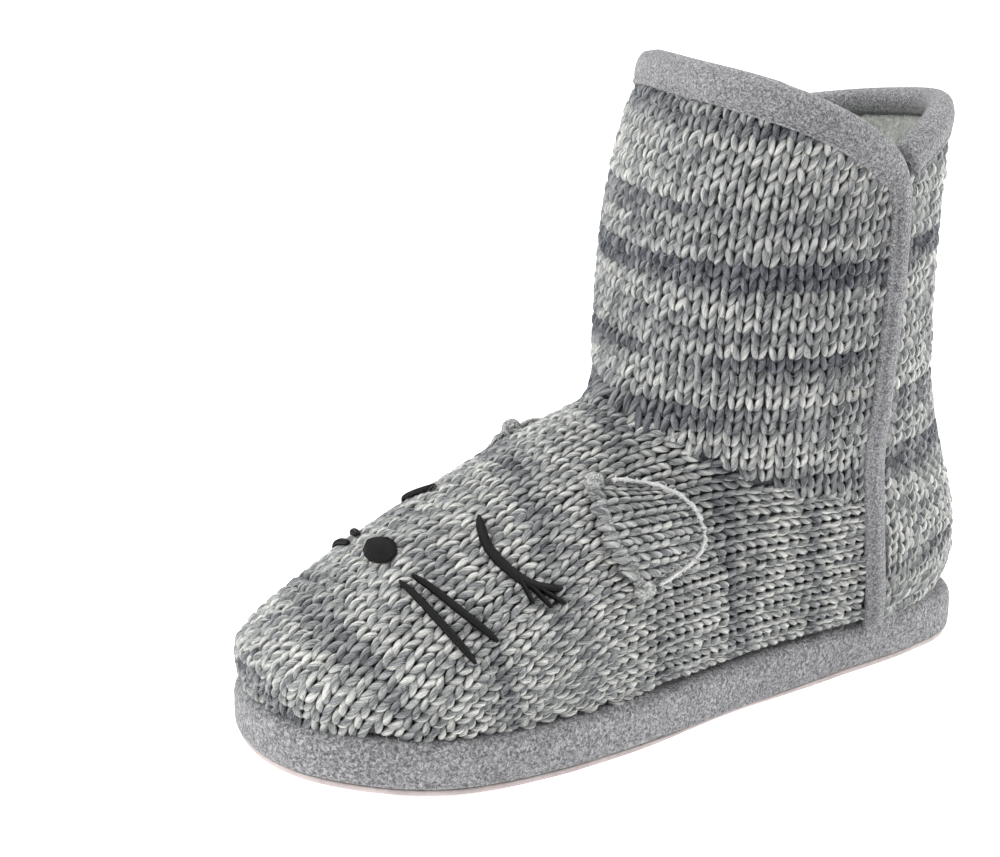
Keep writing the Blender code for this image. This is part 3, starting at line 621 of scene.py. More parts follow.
@dataclass(frozen=True)
class MarledYarn:
    """Two-ply wool and acrylic yarn: an off-white ply twisted with a blue-grey one, soft and hairy.

    The slow twist shows as pale and grey streaks that run nearly along each leg of a stitch. The
    dye changes along the yarn, so whole courses are darker.
    """

    name: str = "marled_yarn"
    pale_ply: str = "#E0E1DB"
    grey_ply: str = "#777A7E"
    dark_pale_ply: str = "#787B82"
    dark_ply: str = "#2F333B"
    fleck: str = "#DADCD6"
    slant: float = 0.50
    patch: float = 1.4
    streak: float = 5.2
    lane_count: float = 16.0
    slow_twist: float = 0.35
    contrast: float = 0.40
    balance: float = 0.46
    relief: float = 0.0012

    def build(self) -> bpy.types.Material:
        """Return the material."""
        work = Shading(self.name, 0.95, 0.12)
        shade, chance = [add_node(work.tree, "ShaderNodeAttribute", {"attribute_name": label}).outputs["Fac"]
                         for label in ("shade", "chance")]
        yarn = add_node(work.tree, "ShaderNodeUVMap", {"uv_map": "yarn"}).outputs["UV"]
        parts = add_node(work.tree, "ShaderNodeSeparateXYZ", inputs={0: yarn}).outputs
        start = work.calc("MULTIPLY_ADD", chance, 7.0,
                          work.calc("MULTIPLY_ADD", parts[1], self.slant, parts[0]))
        turns = work.calc("MULTIPLY", start, 2 * math.pi)
        plies = work.calc("SINE", work.calc("MULTIPLY", turns, 2.0))
        lanes = add_node(work.tree, "ShaderNodeCombineXYZ", inputs={
            0: work.calc("MULTIPLY", start, self.lane_count), 1: work.calc("MULTIPLY", parts[1], 1.4),
            2: chance})
        streaks = work.noise(1.0, 2.0, vector=lanes.outputs[0])
        fibres = work.noise(1300.0, 3.0)
        loose = work.calc("MULTIPLY_ADD", work.noise(230.0, 1.0), self.patch, -self.patch / 2)
        ply = work.calc("MULTIPLY_ADD", work.calc("SINE", turns), self.slow_twist, plies)
        drawn = work.calc("MULTIPLY_ADD", streaks, self.streak, -self.streak / 2)
        summed = work.calc("ADD", work.calc("ADD", ply, loose), drawn)
        twist = work.calc("MULTIPLY_ADD", summed, self.contrast, self.balance, clamp=True)
        bright = work.mix(twist, linear(self.pale_ply), linear(self.grey_ply))
        dull = work.mix(twist, linear(self.dark_pale_ply), linear(self.dark_ply))
        flecks = work.calc("MULTIPLY_ADD", fibres, 3.0, -1.75, clamp=True)
        color = work.mix(work.calc("MULTIPLY", flecks, 0.5), work.mix(shade, bright, dull),
                         linear(self.fleck))
        lumps = work.calc("MULTIPLY_ADD", plies, -0.30, streaks)
        return work.paint(color, work.calc("MULTIPLY_ADD", fibres, 0.7, lumps), 1.0, self.relief)


@dataclass(frozen=True)
class PaintedShadeBacking:
    """The back of the knit seen between the stitches, dark with painted shade: the same yarn in the fabric's
    own shadow.
    """

    name: str = "knit_ground"

    def build(self) -> bpy.types.Material:
        """Return the material."""
        work = Shading(self.name, 0.95, 0.2)
        # Dark grey ramp: painted shade where the stitches part.
        noise = work.noise(900.0, 3.0)
        return work.paint(work.ramp(noise, (0.3, "#2E3135"), (0.7, "#5E6164")), noise, 0.8, 0.0005)


@dataclass(frozen=True)
class NappedSuede:
    """Polyester microsuede, brushed to a short nap of small curls; painted highlight where they catch the
    light, painted shade between.
    """

    name: str = "grey_microsuede"
    base: str = "#878789"
    hollow_shade: str = "#58585C"
    tip_highlight: str = "#B6B6B9"
    grain: float = 0.0010

    def build(self) -> bpy.types.Material:
        """Return the material."""
        work = Shading(self.name, 0.95, 0.25)
        curls = work.noise(1.0 / self.grain, 3.0, 0.9)
        # Painted shade in the nap's hollows and painted highlight on its crests, both following the relief.
        nap = work.ramp(curls, (0.36, self.hollow_shade), (0.50, self.base), (0.66, self.tip_highlight))
        cloud = work.ramp(work.noise(60.0, 2.0), (0.3, "#E2E2E4"), (0.7, "#FFFFFF"))
        return work.paint(work.mix(0.6, nap, cloud, "MULTIPLY"), curls, 1.0, 0.0010)


@dataclass(frozen=True)
class PileFleece:
    """Polyester fleece with a short dense pile, matted into small tufts with painted shade between them and
    painted highlight on top.
    """

    name: str = "lining_fleece"
    base: str = "#C5C8C2"
    hollow_shade: str = "#9DA19C"
    tip_highlight: str = "#E1E4DF"
    tuft: float = 0.0018

    def build(self) -> bpy.types.Material:
        """Return the material."""
        work = Shading(self.name, 0.95, 0.5)
        tufts = work.noise(1.0 / self.tuft, 4.0, 0.6)
        # Painted shade in the hollows between tufts and painted highlight on their tops, both following the
        # relief.
        color = work.ramp(tufts, (0.32, self.hollow_shade), (0.55, self.base), (0.75, self.tip_highlight))
        return work.paint(color, tufts, 1.0, 0.0012)


@dataclass(frozen=True)
class PlainStrand:
    """Smooth spun thread of one colour, with a faint gloss along the filament."""

    name: str
    color: str
    roughness: float = 0.5
    sheen: float = 0.1
    gloss: float = 0.5

    def build(self) -> bpy.types.Material:
        """Return the material."""
        work = Shading(self.name, self.roughness, self.sheen)
        work.shader.inputs["Specular IOR Level"].default_value = self.gloss
        noise = work.noise(1500.0, 2.0)
        spun = work.ramp(noise, (0.3, "#D0D0D0"), (0.7, "#FFFFFF"))
        return work.paint(work.mix(1.0, linear(self.color), spun, "MULTIPLY"), noise, 0.4, 0.0002)


@dataclass(frozen=True)
class SheetRubber:
    """Thin blown rubber sheet, matt and faintly pink, with small grip dots underneath."""

    name: str = "outsole_rubber"
    base: str = "#C8BDBB"
    worn: str = "#B6ABA9"
    dot_pitch: float = 0.004

    def build(self) -> bpy.types.Material:
        """Return the material."""
        work = Shading(self.name, 0.6, 0.0)
        dots = add_node(work.tree, "ShaderNodeTexVoronoi", {"voronoi_dimensions": "2D"},
                        {"Vector": work.place, "Scale": 1.0 / self.dot_pitch, "Randomness": 0.0})
        raised = add_node(work.tree, "ShaderNodeMapRange",
                          inputs={"Value": dots.outputs["Distance"], 1: 0.25, 2: 0.38, 3: 1.0, 4: 0.0})
        color = work.ramp(work.noise(90.0, 4.0), (0.35, self.worn), (0.65, self.base))
        return work.paint(color, raised.outputs[0], 0.5, 0.0005)


def new_object(name: str, vertices: Array, faces: Sequence[Sequence[int]],
               material: Optional[bpy.types.Material] = None) -> bpy.types.Object:
    """Make a smooth-shaded mesh object at the origin."""
    mesh = bpy.data.meshes.new(name)
    mesh.from_pydata([tuple(map(float, vertex)) for vertex in vertices], [], [tuple(face) for face in faces])
    mesh.validate()
    mesh.shade_smooth()
    if material is not None:
        mesh.materials.append(material)
    piece = bpy.data.objects.new(name, mesh)
    bpy.context.scene.collection.objects.link(piece)
    return piece


def put_aside(piece: bpy.types.Object) -> bpy.types.Object:
    """Take a unit out of the scene, where only its copies show, and return it."""
    bpy.context.scene.collection.objects.unlink(piece)
    return piece


def loft(sections: Sequence[Array], caps: bool = True) -> tuple[Array, list[tuple[int, ...]]]:
    """Join equal closed sections into a surface and return its vertices and faces."""
    count = len(sections[0])
    faces: list[tuple[int, ...]] = []
    for i in range(len(sections) - 1):
        for k in range(count):
            n = (k + 1) % count
            faces.append((i * count + k, i * count + n, (i + 1) * count + n, (i + 1) * count + k))
    if caps:
        final = (len(sections) - 1) * count
        faces.append(tuple(range(count))[::-1])
        faces.append(tuple(final + k for k in range(count)))
    return np.concatenate(sections), faces


def outward(vertices: Array, faces: Sequence[tuple[int, ...]]) -> list[tuple[int, ...]]:
    """Return the faces, turned round if they enclose a volume below zero."""
    volume = 0.0
    for face in faces:
        for b, c in zip(face[1:-1], face[2:]):
            volume += float(np.dot(vertices[face[0]], np.cross(vertices[b], vertices[c])))
    return list(faces) if volume > 0 else [face[::-1] for face in faces]


def capped(name: str, sections: Sequence[Array],
           material: Optional[bpy.types.Material] = None) -> bpy.types.Object:
    """Make an object from closed sections, its two ends closed and its faces outward."""
    vertices, faces = loft(sections)
    return new_object(name, vertices, outward(vertices, faces), material)


def swept(path: Array, radii: Array, turns: Array, flat: float = 1.0) -> list[Array]:
    """Sweep a round section along a path that lies mainly in X and Y.

    Args:
        path: The middle line.
        radii: The radius at each of its points.
        turns: The angle of each corner of the section.
        flat: Height of the section as a share of its width.

    Returns:
        The sections.
    """
    ways = unit(np.gradient(path, axis=0))
    across = unit(np.cross(ways, np.array([0.0, 0.0, 1.0])))
    up = np.cross(across, ways)
    return [point + radius * (np.outer(np.cos(turns), side) + flat * np.outer(np.sin(turns), lift))
            for point, side, lift, radius in zip(path, across, up, radii)]


class Repeater:
    """Repeats a small unit at places on a surface with Geometry Nodes, as one mesh."""

    def __init__(self, name: str, wobble: float, seed: int) -> None:
        """Build the tree: instances turned and sized by attributes, realized, in one material."""
        self.name = name
        tree = bpy.data.node_groups.new(name, "GeometryNodeTree")
        self.tree = tree
        face = tree.interface
        face.new_socket("Places", in_out="INPUT", socket_type="NodeSocketGeometry")
        self.sockets = {}
        for label, kind in (("Unit", "Object"), ("Wobble", "Float"), ("Seed", "Int"), ("Finish", "Material")):
            self.sockets[label] = face.new_socket(label, in_out="INPUT", socket_type="NodeSocket" + kind)
        face.new_socket("Mesh", in_out="OUTPUT", socket_type="NodeSocketGeometry")
        source = add_node(tree, "NodeGroupInput").outputs
        turn, size = [add_node(tree, "GeometryNodeInputNamedAttribute", {"data_type": "FLOAT_VECTOR"},
                               {"Name": label}).outputs[0] for label in ("turn", "size")]
        negative = add_node(tree, "ShaderNodeMath", {"operation": "MULTIPLY"}, {0: source["Wobble"], 1: -1.0})
        chance = add_node(tree, "FunctionNodeRandomValue", {"data_type": "FLOAT"},
                          {2: negative.outputs[0], 3: source["Wobble"], "Seed": source["Seed"]})
        tilt = add_node(tree, "ShaderNodeCombineXYZ", inputs={2: chance.outputs[1]})
        facing = add_node(tree, "FunctionNodeEulerToRotation", inputs={0: turn})
        lean = add_node(tree, "FunctionNodeEulerToRotation", inputs={0: tilt.outputs[0]})
        turned = add_node(tree, "FunctionNodeRotateRotation", {"rotation_space": "LOCAL"},
                          {0: facing.outputs[0], 1: lean.outputs[0]})
        unit_info = add_node(tree, "GeometryNodeObjectInfo", {"transform_space": "ORIGINAL"},
                             {"Object": source["Unit"], "As Instance": True})
        copies = add_node(tree, "GeometryNodeInstanceOnPoints",
                          inputs={"Points": source["Places"], "Instance": unit_info.outputs["Geometry"],
                                  "Rotation": turned.outputs[0], "Scale": size})
        real = add_node(tree, "GeometryNodeRealizeInstances", inputs={0: copies.outputs[0]})
        dressed = add_node(tree, "GeometryNodeSetMaterial",
                           inputs={"Geometry": real.outputs[0], "Material": source["Finish"]})
        add_node(tree, "NodeGroupOutput", inputs={0: dressed.outputs[0]})
        self.wobble = wobble
        self.seed = seed

    def build(self, lattice: Lattice, unit_piece: bpy.types.Object, finish: bpy.types.Material,
              shades: Optional[Array] = None) -> bpy.types.Object:
        """Return the repeated units as one mesh object.

        Args:
            lattice: Where the units go; each way is the unit's Y and each normal its Z.
            unit_piece: The object that is repeated.
            finish: The material of the result.
            shades: A value of the attribute "shade" for each place.

        Returns:
            The mesh object, at the origin.
        """
        places = np.array(lattice.places)
        up = unit(np.array(lattice.normals))
        ways = np.array(lattice.ways)
        ways = unit(ways - up * (ways * up).sum(-1, keepdims=True))
        across = np.cross(ways, up)
        turns = [Matrix(np.stack(axes, -1).tolist()).to_euler()[:] for axes in zip(across, ways, up)]
        holder = new_object(self.name, places, [])
        mesh = holder.data
        chance = np.random.default_rng(self.seed).random(len(places))
        for label, kind, values in (
                ("turn", "FLOAT_VECTOR", turns), ("size", "FLOAT_VECTOR", lattice.sizes),
                ("shade", "FLOAT", np.zeros(len(places)) if shades is None else shades),
                ("chance", "FLOAT", chance)):
            layer = mesh.attributes.new(label, kind, "POINT")
            layer.data.foreach_set("vector" if kind == "FLOAT_VECTOR" else "value",
                                   np.asarray(values, np.float32).ravel())
        modifier = holder.modifiers.new("repeat", "NODES")
        modifier.node_group = self.tree
        for label, value in (("Unit", unit_piece), ("Wobble", self.wobble), ("Seed", self.seed),
                             ("Finish", finish)):
            modifier[self.sockets[label].identifier] = value
        depsgraph = bpy.context.evaluated_depsgraph_get()
        depsgraph.update()
        result = bpy.data.meshes.new_from_object(
            holder.evaluated_get(depsgraph), preserve_all_data_layers=True, depsgraph=depsgraph)
        holder.modifiers.clear()
        holder.data = result
        for label in ("turn", "size"):
            if label in result.attributes:
                result.attributes.remove(result.attributes[label])
        bpy.data.meshes.remove(mesh)
        return holder


def finish_piece(piece: bpy.types.Object, replaces: Sequence[str] = ()) -> None:
    """Let a piece ride on the slipper and the solids that it stands for."""
    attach(piece, "root")
    if replaces:
        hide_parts(*replaces)
    triangles = sum(len(polygon.vertices) - 2 for polygon in piece.data.polygons)
    log.info("%s: %d triangles", piece.name, triangles)


@dataclass
class Knit:
    """Chunky stockinette: the stitch, its gauge, and the chance in its lie and its dye."""

    wale: float = 0.0057
    course: float = 0.0042
    leg: float = 0.00120
    sink: float = 0.0017
    stray: float = 0.00014
    swell: float = 0.08
    run_depth: float = 0.17
    chance_depth: float = 0.07

    def stitch(self) -> bpy.types.Object:
        """Return one stitch, two plump legs in a V, sized by one wale and one course."""
        vertices, faces, marks = [], [], []
        steps = np.linspace(0.0, 1.0, 6)
        turns = np.radians([-14.0, 42.0, 90.0, 138.0, 194.0])
        radii = self.leg * (0.30 + 0.75 * np.sin(math.pi * (0.05 + 0.88 * steps)) ** 0.85)
        y = (-0.76 + 1.54 * steps) * self.course
        z = 0.0011 * np.sin(steps * math.pi) - 0.0006 * (1 - steps) ** 3 - 0.0011 * steps ** 4
        base = 0
        for side, lot in ((-1.0, 0.0), (1.0, 0.37)):
            x = side * (0.095 + 0.305 * steps) * self.wale
            points, quads = loft(swept(np.stack([x, y, z], -1), radii, turns, 0.95))
            vertices.append(points / np.array([self.wale, self.course, 1.0]))
            faces += [tuple(base + k for k in quad) for quad in outward(points, quads)]
            marks += [(turn / (2 * math.pi) + lot, step) for step in steps for turn in turns]
            base += len(points)
        piece = new_object("stitch_unit", np.concatenate(vertices), faces)
        layer = piece.data.uv_layers.new(name="yarn")
        for loop, corner in zip(piece.data.loops, layer.data):
            corner.uv = marks[loop.vertex_index]
        for polygon in piece.data.polygons:
            corners = [layer.data[k] for k in polygon.loop_indices]
            around = [corner.uv[0] for corner in corners]
            if max(around) - min(around) > 0.5:
                for corner in corners:
                    if corner.uv[0] < 0.5:
                        corner.uv[0] += 1.0
        return put_aside(piece)

    def shades(self, base: Array, places: Array, seed: int) -> Array:
        """Return the dye of each stitch: the charted band, runs of the yarn along a course, and chance.

        Args:
            base: The band's dye at each stitch.
            places: The wale and course of each stitch, whole numbers.
            seed: Seed of the runs.

        Returns:
            Values from 0, light, to 1, dark.
        """
        chance = np.random.default_rng(seed)
        courses = places[:, 1] - places[:, 1].min()
        pace = chance.uniform(0.16, 0.42, courses.max() + 1)
        start = chance.uniform(0.0, 2 * math.pi, courses.max() + 1)
        runs = np.sin(places[:, 0] * pace[courses] + start[courses])
        return np.clip(base + self.run_depth * runs + chance.normal(0.0, self.chance_depth, len(base)),
                       0.0, 1.0)


@dataclass
class SoleUnit:
    """Foam platform wrapped in suede, on a thin rubber outsole."""

    last: Last
    thickness: float = 0.0022
    gap: float = 0.0003
    step: float = 0.0022
    arch_lift: float = 0.0012
    arch_place: float = 0.0157
    arch_reach: float = 0.0419

    def rings(self, profile: Sequence[tuple[float, float]], arch: bool = False) -> list[Array]:
        """Return rings of the outline.

        Args:
            profile: Inset and height of each ring.
            arch: Whether rings below the top follow the hollow under the arch.

        Returns:
            The rings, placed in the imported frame.
        """
        ring = Outline().ring(self.step)
        ways = unit(np.roll(ring, -1, axis=0) - np.roll(ring, 1, axis=0))
        inward = np.stack([-ways[:, 1], ways[:, 0]], -1)
        lift = self.last.spring(ring[:, 1])
        arch_share = (ring[:, 1] - self.arch_place) / self.arch_reach
        hollow = self.arch_lift * np.clip(1 - arch_share ** 2, 0, 1) ** 2
        out = []
        for inset, level in profile:
            flat = ring + inward * inset
            z = level + lift + (hollow if arch and level < self.thickness else 0.0)
            out.append(np.column_stack([flat, z]) + self.last.shift)
        return out

    def build(self) -> None:
        """Build both pieces and dress them."""
        low, high = self.thickness + self.gap, self.last.sole_height
        height = high - low
        wrap = [(0.012, low), (0.0016, low), (0.0006, low + 0.0006), (0.0002, low + 0.0018)]
        wrap += [(0.0, low + height * share) for share in (0.3, 0.45, 0.6, 0.72)]
        wrap += [(0.0002, high - 0.0030), (0.0007, high - 0.0014), (0.0018, high - 0.0004),
                 (0.0034, high), (0.012, high)]
        platform = capped("suede_platform", self.rings(wrap), NappedSuede().build())
        finish_piece(platform, ("midsole",))
        sheet = [(0.010, 0.0), (0.0030, 0.0), (0.0019, 0.0003), (0.0015, 0.0008), (0.0015, 0.0019),
                 (0.0018, 0.0022), (0.010, 0.0022)]
        rubber = capped("rubber_outsole", self.rings(sheet, arch=True), SheetRubber().build())
        finish_piece(rubber, ("outsole",))


@dataclass
class UpperWall:
    """Bonded wall of the upper: a knit back dark with painted shade and the fleece lining inside it, and the
    footbed.
    """

    wrap: Wrap
    rows: int = 84
    columns: int = 44
    base: float = 0.0185

    def grid(self, below_rim: float) -> tuple[Array, Array]:
        """Return points and normals of closed rows from the sole to a depth below the rim."""
        last, wrap = self.wrap.last, self.wrap
        shares = np.linspace(0.0, 1.0, self.columns)
        parts = [(Region.FRONT, 1, shares[:-1]), (Region.BACK, 1, shares[:-1]),
                 (Region.BACK, -1, shares[::-1][:-1]), (Region.FRONT, -1, shares[::-1][:-1])]
        notch = last.notch()
        levels = np.linspace(0.0, 1.0, self.rows)[:, None]
        points = []
        for region, side, row in parts:
            rim = wrap.rim(region, side, row)
            rim = np.maximum(rim, notch) if region is Region.FRONT else rim
            z = self.base + (rim - below_rim - self.base) * levels
            points.append(wrap.point(region, side, row[None, :], z))
        grid = np.concatenate(points, axis=1)
        return grid, last.normals(grid)

    def shell(self, name: str, below_rim: float, outside: float, inside: float, lumps: float,
              material: bpy.types.Material) -> bpy.types.Object:
        """Return a closed shell between two depths under the upper's surface.

        Args:
            name: The piece's name.
            below_rim: Where its top edge lies under the rim.
            outside: Depth of its outer surface.
            inside: Depth of its inner surface.
            lumps: How far the inner surface is tufted.
            material: Its finish.

        Returns:
            The object.
        """
        grid, normals = self.grid(below_rim)
        chance = np.random.default_rng(11)
        tufts = chance.normal(0.0, lumps, grid.shape[:2])[..., None] if lumps else 0.0
        outer = self.wrap.last.placed(grid - normals * outside)
        inner = self.wrap.last.placed(grid - normals * (inside + tufts))
        sections = list(outer) + list(inner[::-1])
        vertices, faces = loft(sections, caps=False)
        count = grid.shape[1]
        final = (len(sections) - 1) * count
        faces += [(final + k, final + (k + 1) % count, (k + 1) % count, k) for k in range(count)]
        return new_object(name, vertices, outward(vertices, faces), material)

    def footbed(self, material: bpy.types.Material) -> bpy.types.Object:
        """Return the fleece footbed inside the lining."""
        last = self.wrap.last
        turns = np.linspace(0.0, 2 * math.pi, 180, endpoint=False)
        ring = last.around(turns, np.full(turns.shape, 0.0205))
        flat = unit(last.normals(ring) * np.array([1.0, 1.0, 0.0]))
        spine = np.stack([np.full(len(ring), 0.003), np.clip(ring[:, 1], -0.085, 0.085), ring[:, 2]], -1)
        chance = np.random.default_rng(5)
        rows = [(0.0058, 0.0186, 0.0), (0.0058, 0.0215, 0.0), (0.0066, 0.0230, 0.0)]
        rows += [(0.0082, 0.0233, k / 14) for k in range(14)]
        sections = []
        for draw, level, share in rows:
            edge = ring - flat * draw
            row = edge + (spine - edge) * share
            row[:, 2] = level + last.spring(row[:, 1]) + chance.normal(0.0, 0.00012, len(row))
            sections.append(row + last.shift)
        return capped("fleece_footbed", sections, material)

    def build(self) -> None:
        """Build the wall's two layers and the footbed, and dress them."""
        # The knit back's dark finish is painted shade, seen through the gaps between the stitches.
        back = self.shell("knit_back_layer", below_rim=0.0045, outside=0.0022, inside=0.0030,
                          lumps=0.0, material=PaintedShadeBacking().build())
        finish_piece(back, ("upper",))
        fleece = PileFleece().build()
        lining = self.shell("fleece_lining", below_rim=0.0035, outside=0.0031, inside=0.0043,
                            lumps=0.00022, material=fleece)
        finish_piece(lining)
        finish_piece(self.footbed(fleece), ("insole",))


@dataclass
class KnitUpper:
    """The three knitted panels, each repeated stitch by stitch over its part of the last."""

    wrap: Wrap
    knit: Knit
    yarn: bpy.types.Material
    rim_cover: float = 0.0062
    front_reach: float = 0.966
    vamp_reach: float = 0.972
    back_seam: float = 0.022
    back_floor: float = 0.0175
    pivot_behind_toe: float = 0.075
    floor: float = 0.0186
    row_step: float = 0.004
    ankle_level: float = 0.113
    pivot_depth: float = 0.040
    turn_over: float = -0.010
    seam_groove: float = 0.0007
    # Painted shade: added to the front panel's dye so the whole panel is darker than the others.
    front_painted_shade: float = 0.12
    toe_gauge: float = 1.14
    side_gauge: float = 0.92
    toe_stretch: tuple[float, float] = (-0.110, -0.040)
    front_bands: tuple[tuple[float, float], ...] = (
        (0.0600, 0.25), (0.0755, 0.30), (0.0765, 0.55), (0.0845, 0.55), (0.0855, 0.12), (0.0960, 0.12),
        (0.0970, 0.75), (0.1055, 0.80), (0.1065, 0.10), (0.1150, 0.12), (0.1160, 0.85), (0.1215, 0.85),
        (0.1225, 0.22), (0.1275, 0.22), (0.1282, 0.50), (0.1318, 0.50), (0.1325, 0.20), (0.1430, 0.20),
        (0.1440, 0.88), (0.1515, 0.88), (0.1525, 0.30), (0.1600, 0.25), (0.1610, 0.50), (0.1680, 0.50),
        (0.1690, 0.06), (0.1880, 0.10), (0.1890, 0.80), (0.1950, 0.80), (0.1960, 0.30), (0.2080, 0.30),
    )
    back_bands: tuple[tuple[float, float], ...] = (
        (0.018, 0.12), (0.0315, 0.12), (0.0325, 0.60), (0.0405, 0.60), (0.0415, 0.08), (0.0610, 0.10),
        (0.0730, 0.20), (0.0740, 0.90), (0.0825, 0.90), (0.0835, 0.06), (0.0960, 0.08), (0.0970, 0.85),
        (0.1060, 0.85), (0.1070, 0.10), (0.1270, 0.28), (0.1450, 0.08), (0.1460, 0.92), (0.1540, 0.92),
        (0.1550, 0.05), (0.1750, 0.06), (0.1760, 0.60), (0.2000, 0.55),
    )

    def panel(self, rows: Sequence[Array], ways: Sequence[Array], levels: Array, shares: Array) -> Patch:
        """Return a shaft panel with level courses.

        Args:
            rows: Points along each level.
            ways: Their signed distances from the panel's middle.
            levels: The height of each row.
            shares: The share of the way round, kept as the first mark.

        Returns:
            The panel.
        """
        points = np.stack(rows)
        z = np.broadcast_to(levels[:, None], points.shape[:2])
        marks = np.stack([np.broadcast_to(shares, z.shape), z], -1)
        return Patch(points, self.wrap.last.normals(points), np.stack(ways) / self.knit.wale,
                     z / self.knit.course, marks)

    def front_patch(self) -> Patch:
        """Return the front shaft panel: courses level, wales at even ways from the front middle."""
        levels = np.arange(0.064, 0.2085, self.row_step)
        shares = np.linspace(-1.0, 1.0, 121)
        middle = len(shares) // 2
        plumb = {}
        for side in (1, -1):
            level_row = self.wrap.point(Region.FRONT, side, shares[middle:], self.ankle_level)
            plumb[side] = path_lengths(level_row)[-1]
        rows, ways = [], []
        for level in levels:
            outer = self.wrap.point(Region.FRONT, 1, shares[middle:], level)
            inner = self.wrap.point(Region.FRONT, -1, -shares[:middle + 1], level)
            rows.append(np.concatenate([inner[:-1], outer]))
            way = path_lengths(rows[-1])
            way = way - way[middle]
            if level < self.ankle_level:
                way = np.where(way >= 0, way - way[-1] + plumb[1], way - way[0] - plumb[-1])
            ways.append(way)
        return self.panel(rows, ways, levels, shares)

    def back_patch(self) -> Patch:
        """Return the back panel: wales at even ways from the centre-back seam, fanned at the heel."""
        levels = np.arange(0.0165, 0.2005, self.row_step)
        shares = np.linspace(-1.0, 1.0, 61)
        middle = len(shares) // 2
        rows, ways = [], []
        for level in levels:
            outer = self.wrap.point(Region.BACK, 1, 1 + shares[:middle + 1], level)
            inner = self.wrap.point(Region.BACK, -1, 1 - shares[middle:], level)
            rows.append(np.concatenate([outer[:-1], inner]))
            way = path_lengths(rows[-1])
            way = way - way[middle]
            ways.append(np.sign(way) * np.abs(np.abs(way) - self.seam_groove))
        return self.panel(rows, ways, levels, 1 - np.abs(shares))

    def vamp_patch(self) -> Patch:
        """Return the vamp: courses are section planes that turn over the toe, wales run lengthwise.

        The knit is stretched over the toe, so its stitches are larger there than at the sides.
        """
        last = self.wrap.last
        pivot = last.plan.toe - last.plan.inset + self.pivot_behind_toe
        turns = np.radians(np.linspace(51.0, 0.0, 22))
        spots = [(pivot - (self.floor + self.pivot_depth) * math.tan(turn), turn) for turn in turns]
        spots += [(y, 0.0) for y in np.arange(pivot + self.row_step, 0.083, self.row_step)]
        angles = np.radians(np.linspace(-90.0, 90.0, 121))
        middle, margin = len(angles) // 2, 12
        rows, wales, courses = [], [], []
        reach = {}
        for y, turn in spots:
            outer, inner = last.plan.sides(np.array(y))
            start = np.broadcast_to(np.array([(outer + inner) / 2, y, self.floor]), (len(angles), 3))
            up = np.array([0.0, -math.sin(turn), math.cos(turn)])
            way = np.cos(angles)[:, None] * up + np.sin(angles)[:, None] * np.array([1.0, 0.0, 0.0])
            row = last.reach(start, way)
            length = path_lengths(row)
            signed = length - length[middle]
            if y <= self.turn_over or not reach:
                if y > self.turn_over - 0.006:
                    reach = {"inner": signed[0], "outer": signed[-1]}
            else:
                outer_part = reach["outer"] - (signed[-1] - signed)
                inner_part = reach["inner"] + (signed - signed[0])
                signed = np.where(angles >= 0, outer_part, inner_part)
            gauge = np.interp(y, self.toe_stretch, (self.toe_gauge, self.side_gauge))
            if rows:
                gaps = np.linalg.norm(row - rows[-1], axis=1)
                ahead = float(np.mean(gaps[margin:-margin])) if y <= self.turn_over else self.row_step
                courses.append(courses[-1] + ahead / (self.knit.course * gauge))
            else:
                courses.append(0.0)
            rows.append(row)
            wales.append(signed / (self.knit.wale * gauge))
        points = np.stack(rows)
        shape = points.shape[:2]
        shares = self.wrap.share_of(points.reshape(-1, 3)).reshape(shape)
        marks = np.stack([shares, points[..., 2]], -1)
        course = np.broadcast_to(np.array(courses)[:, None], shape)
        return Patch(points, last.normals(points), np.stack(wales), course, marks)

    def band(self, rows: Sequence[tuple[float, float]], z: Array, turn: Array) -> Array:
        """Return the dye at heights z, fading a little round the leg."""
        return np.interp(z, *zip(*rows)) * (0.91 + 0.09 * np.sin(turn * 2.3 + z * 90.0))

    def vamp_dye(self, knit: Array) -> Array:
        """Return the vamp's dye: soft crosswise bands every few courses."""
        course = knit[:, 1]
        wave = 0.5 + 0.5 * np.sin(course * 0.78 + 0.9 * np.sin(knit[:, 0] * 0.21) + 0.6)
        slow = 0.5 + 0.5 * np.sin(course * 0.31 + knit[:, 0] * 0.13)
        return 0.52 * wave ** 3 + 0.14 * slow

    def rims(self, region: Region, outer: Array, share: Array) -> Array:
        """Return the rim's height over stitches, where outer is true on the outer side."""
        return np.where(outer, self.wrap.rim(region, 1, share), self.wrap.rim(region, -1, share))

    def build(self) -> list[Lattice]:
        """Build the three panels and return their lattices."""
        wrap = self.wrap
        front = self.front_patch().lattice()
        share, z = front.mark_columns()
        rim = self.rims(Region.FRONT, share >= 0, np.abs(share))
        front.thin((z > wrap.ankle(np.array(front.places)) + 0.0004) & (z < rim - self.rim_cover)
                   & (np.abs(share) < self.front_reach))
        share, z = front.mark_columns()
        # The front panel's dye bands, made darker throughout by painted shade.
        front_dye_and_shade = self.front_painted_shade + self.band(self.front_bands, z, share)

        back = self.back_patch().lattice()
        share, z = back.mark_columns()
        rim = self.rims(Region.BACK, np.array(back.places)[:, 0] >= 0, share)
        back.thin((z < rim - self.rim_cover) & (share > self.back_seam) & (z > self.back_floor))
        share, z = back.mark_columns()
        back_dye = self.band(self.back_bands, z, share)

        vamp = self.vamp_patch().lattice()
        share, z = vamp.mark_columns()
        vamp.thin((z < wrap.ankle(np.array(vamp.places)) + 0.0012)
                  & (np.abs(share) < self.vamp_reach))
        vamp_dye = self.vamp_dye(np.array(vamp.knit, float))

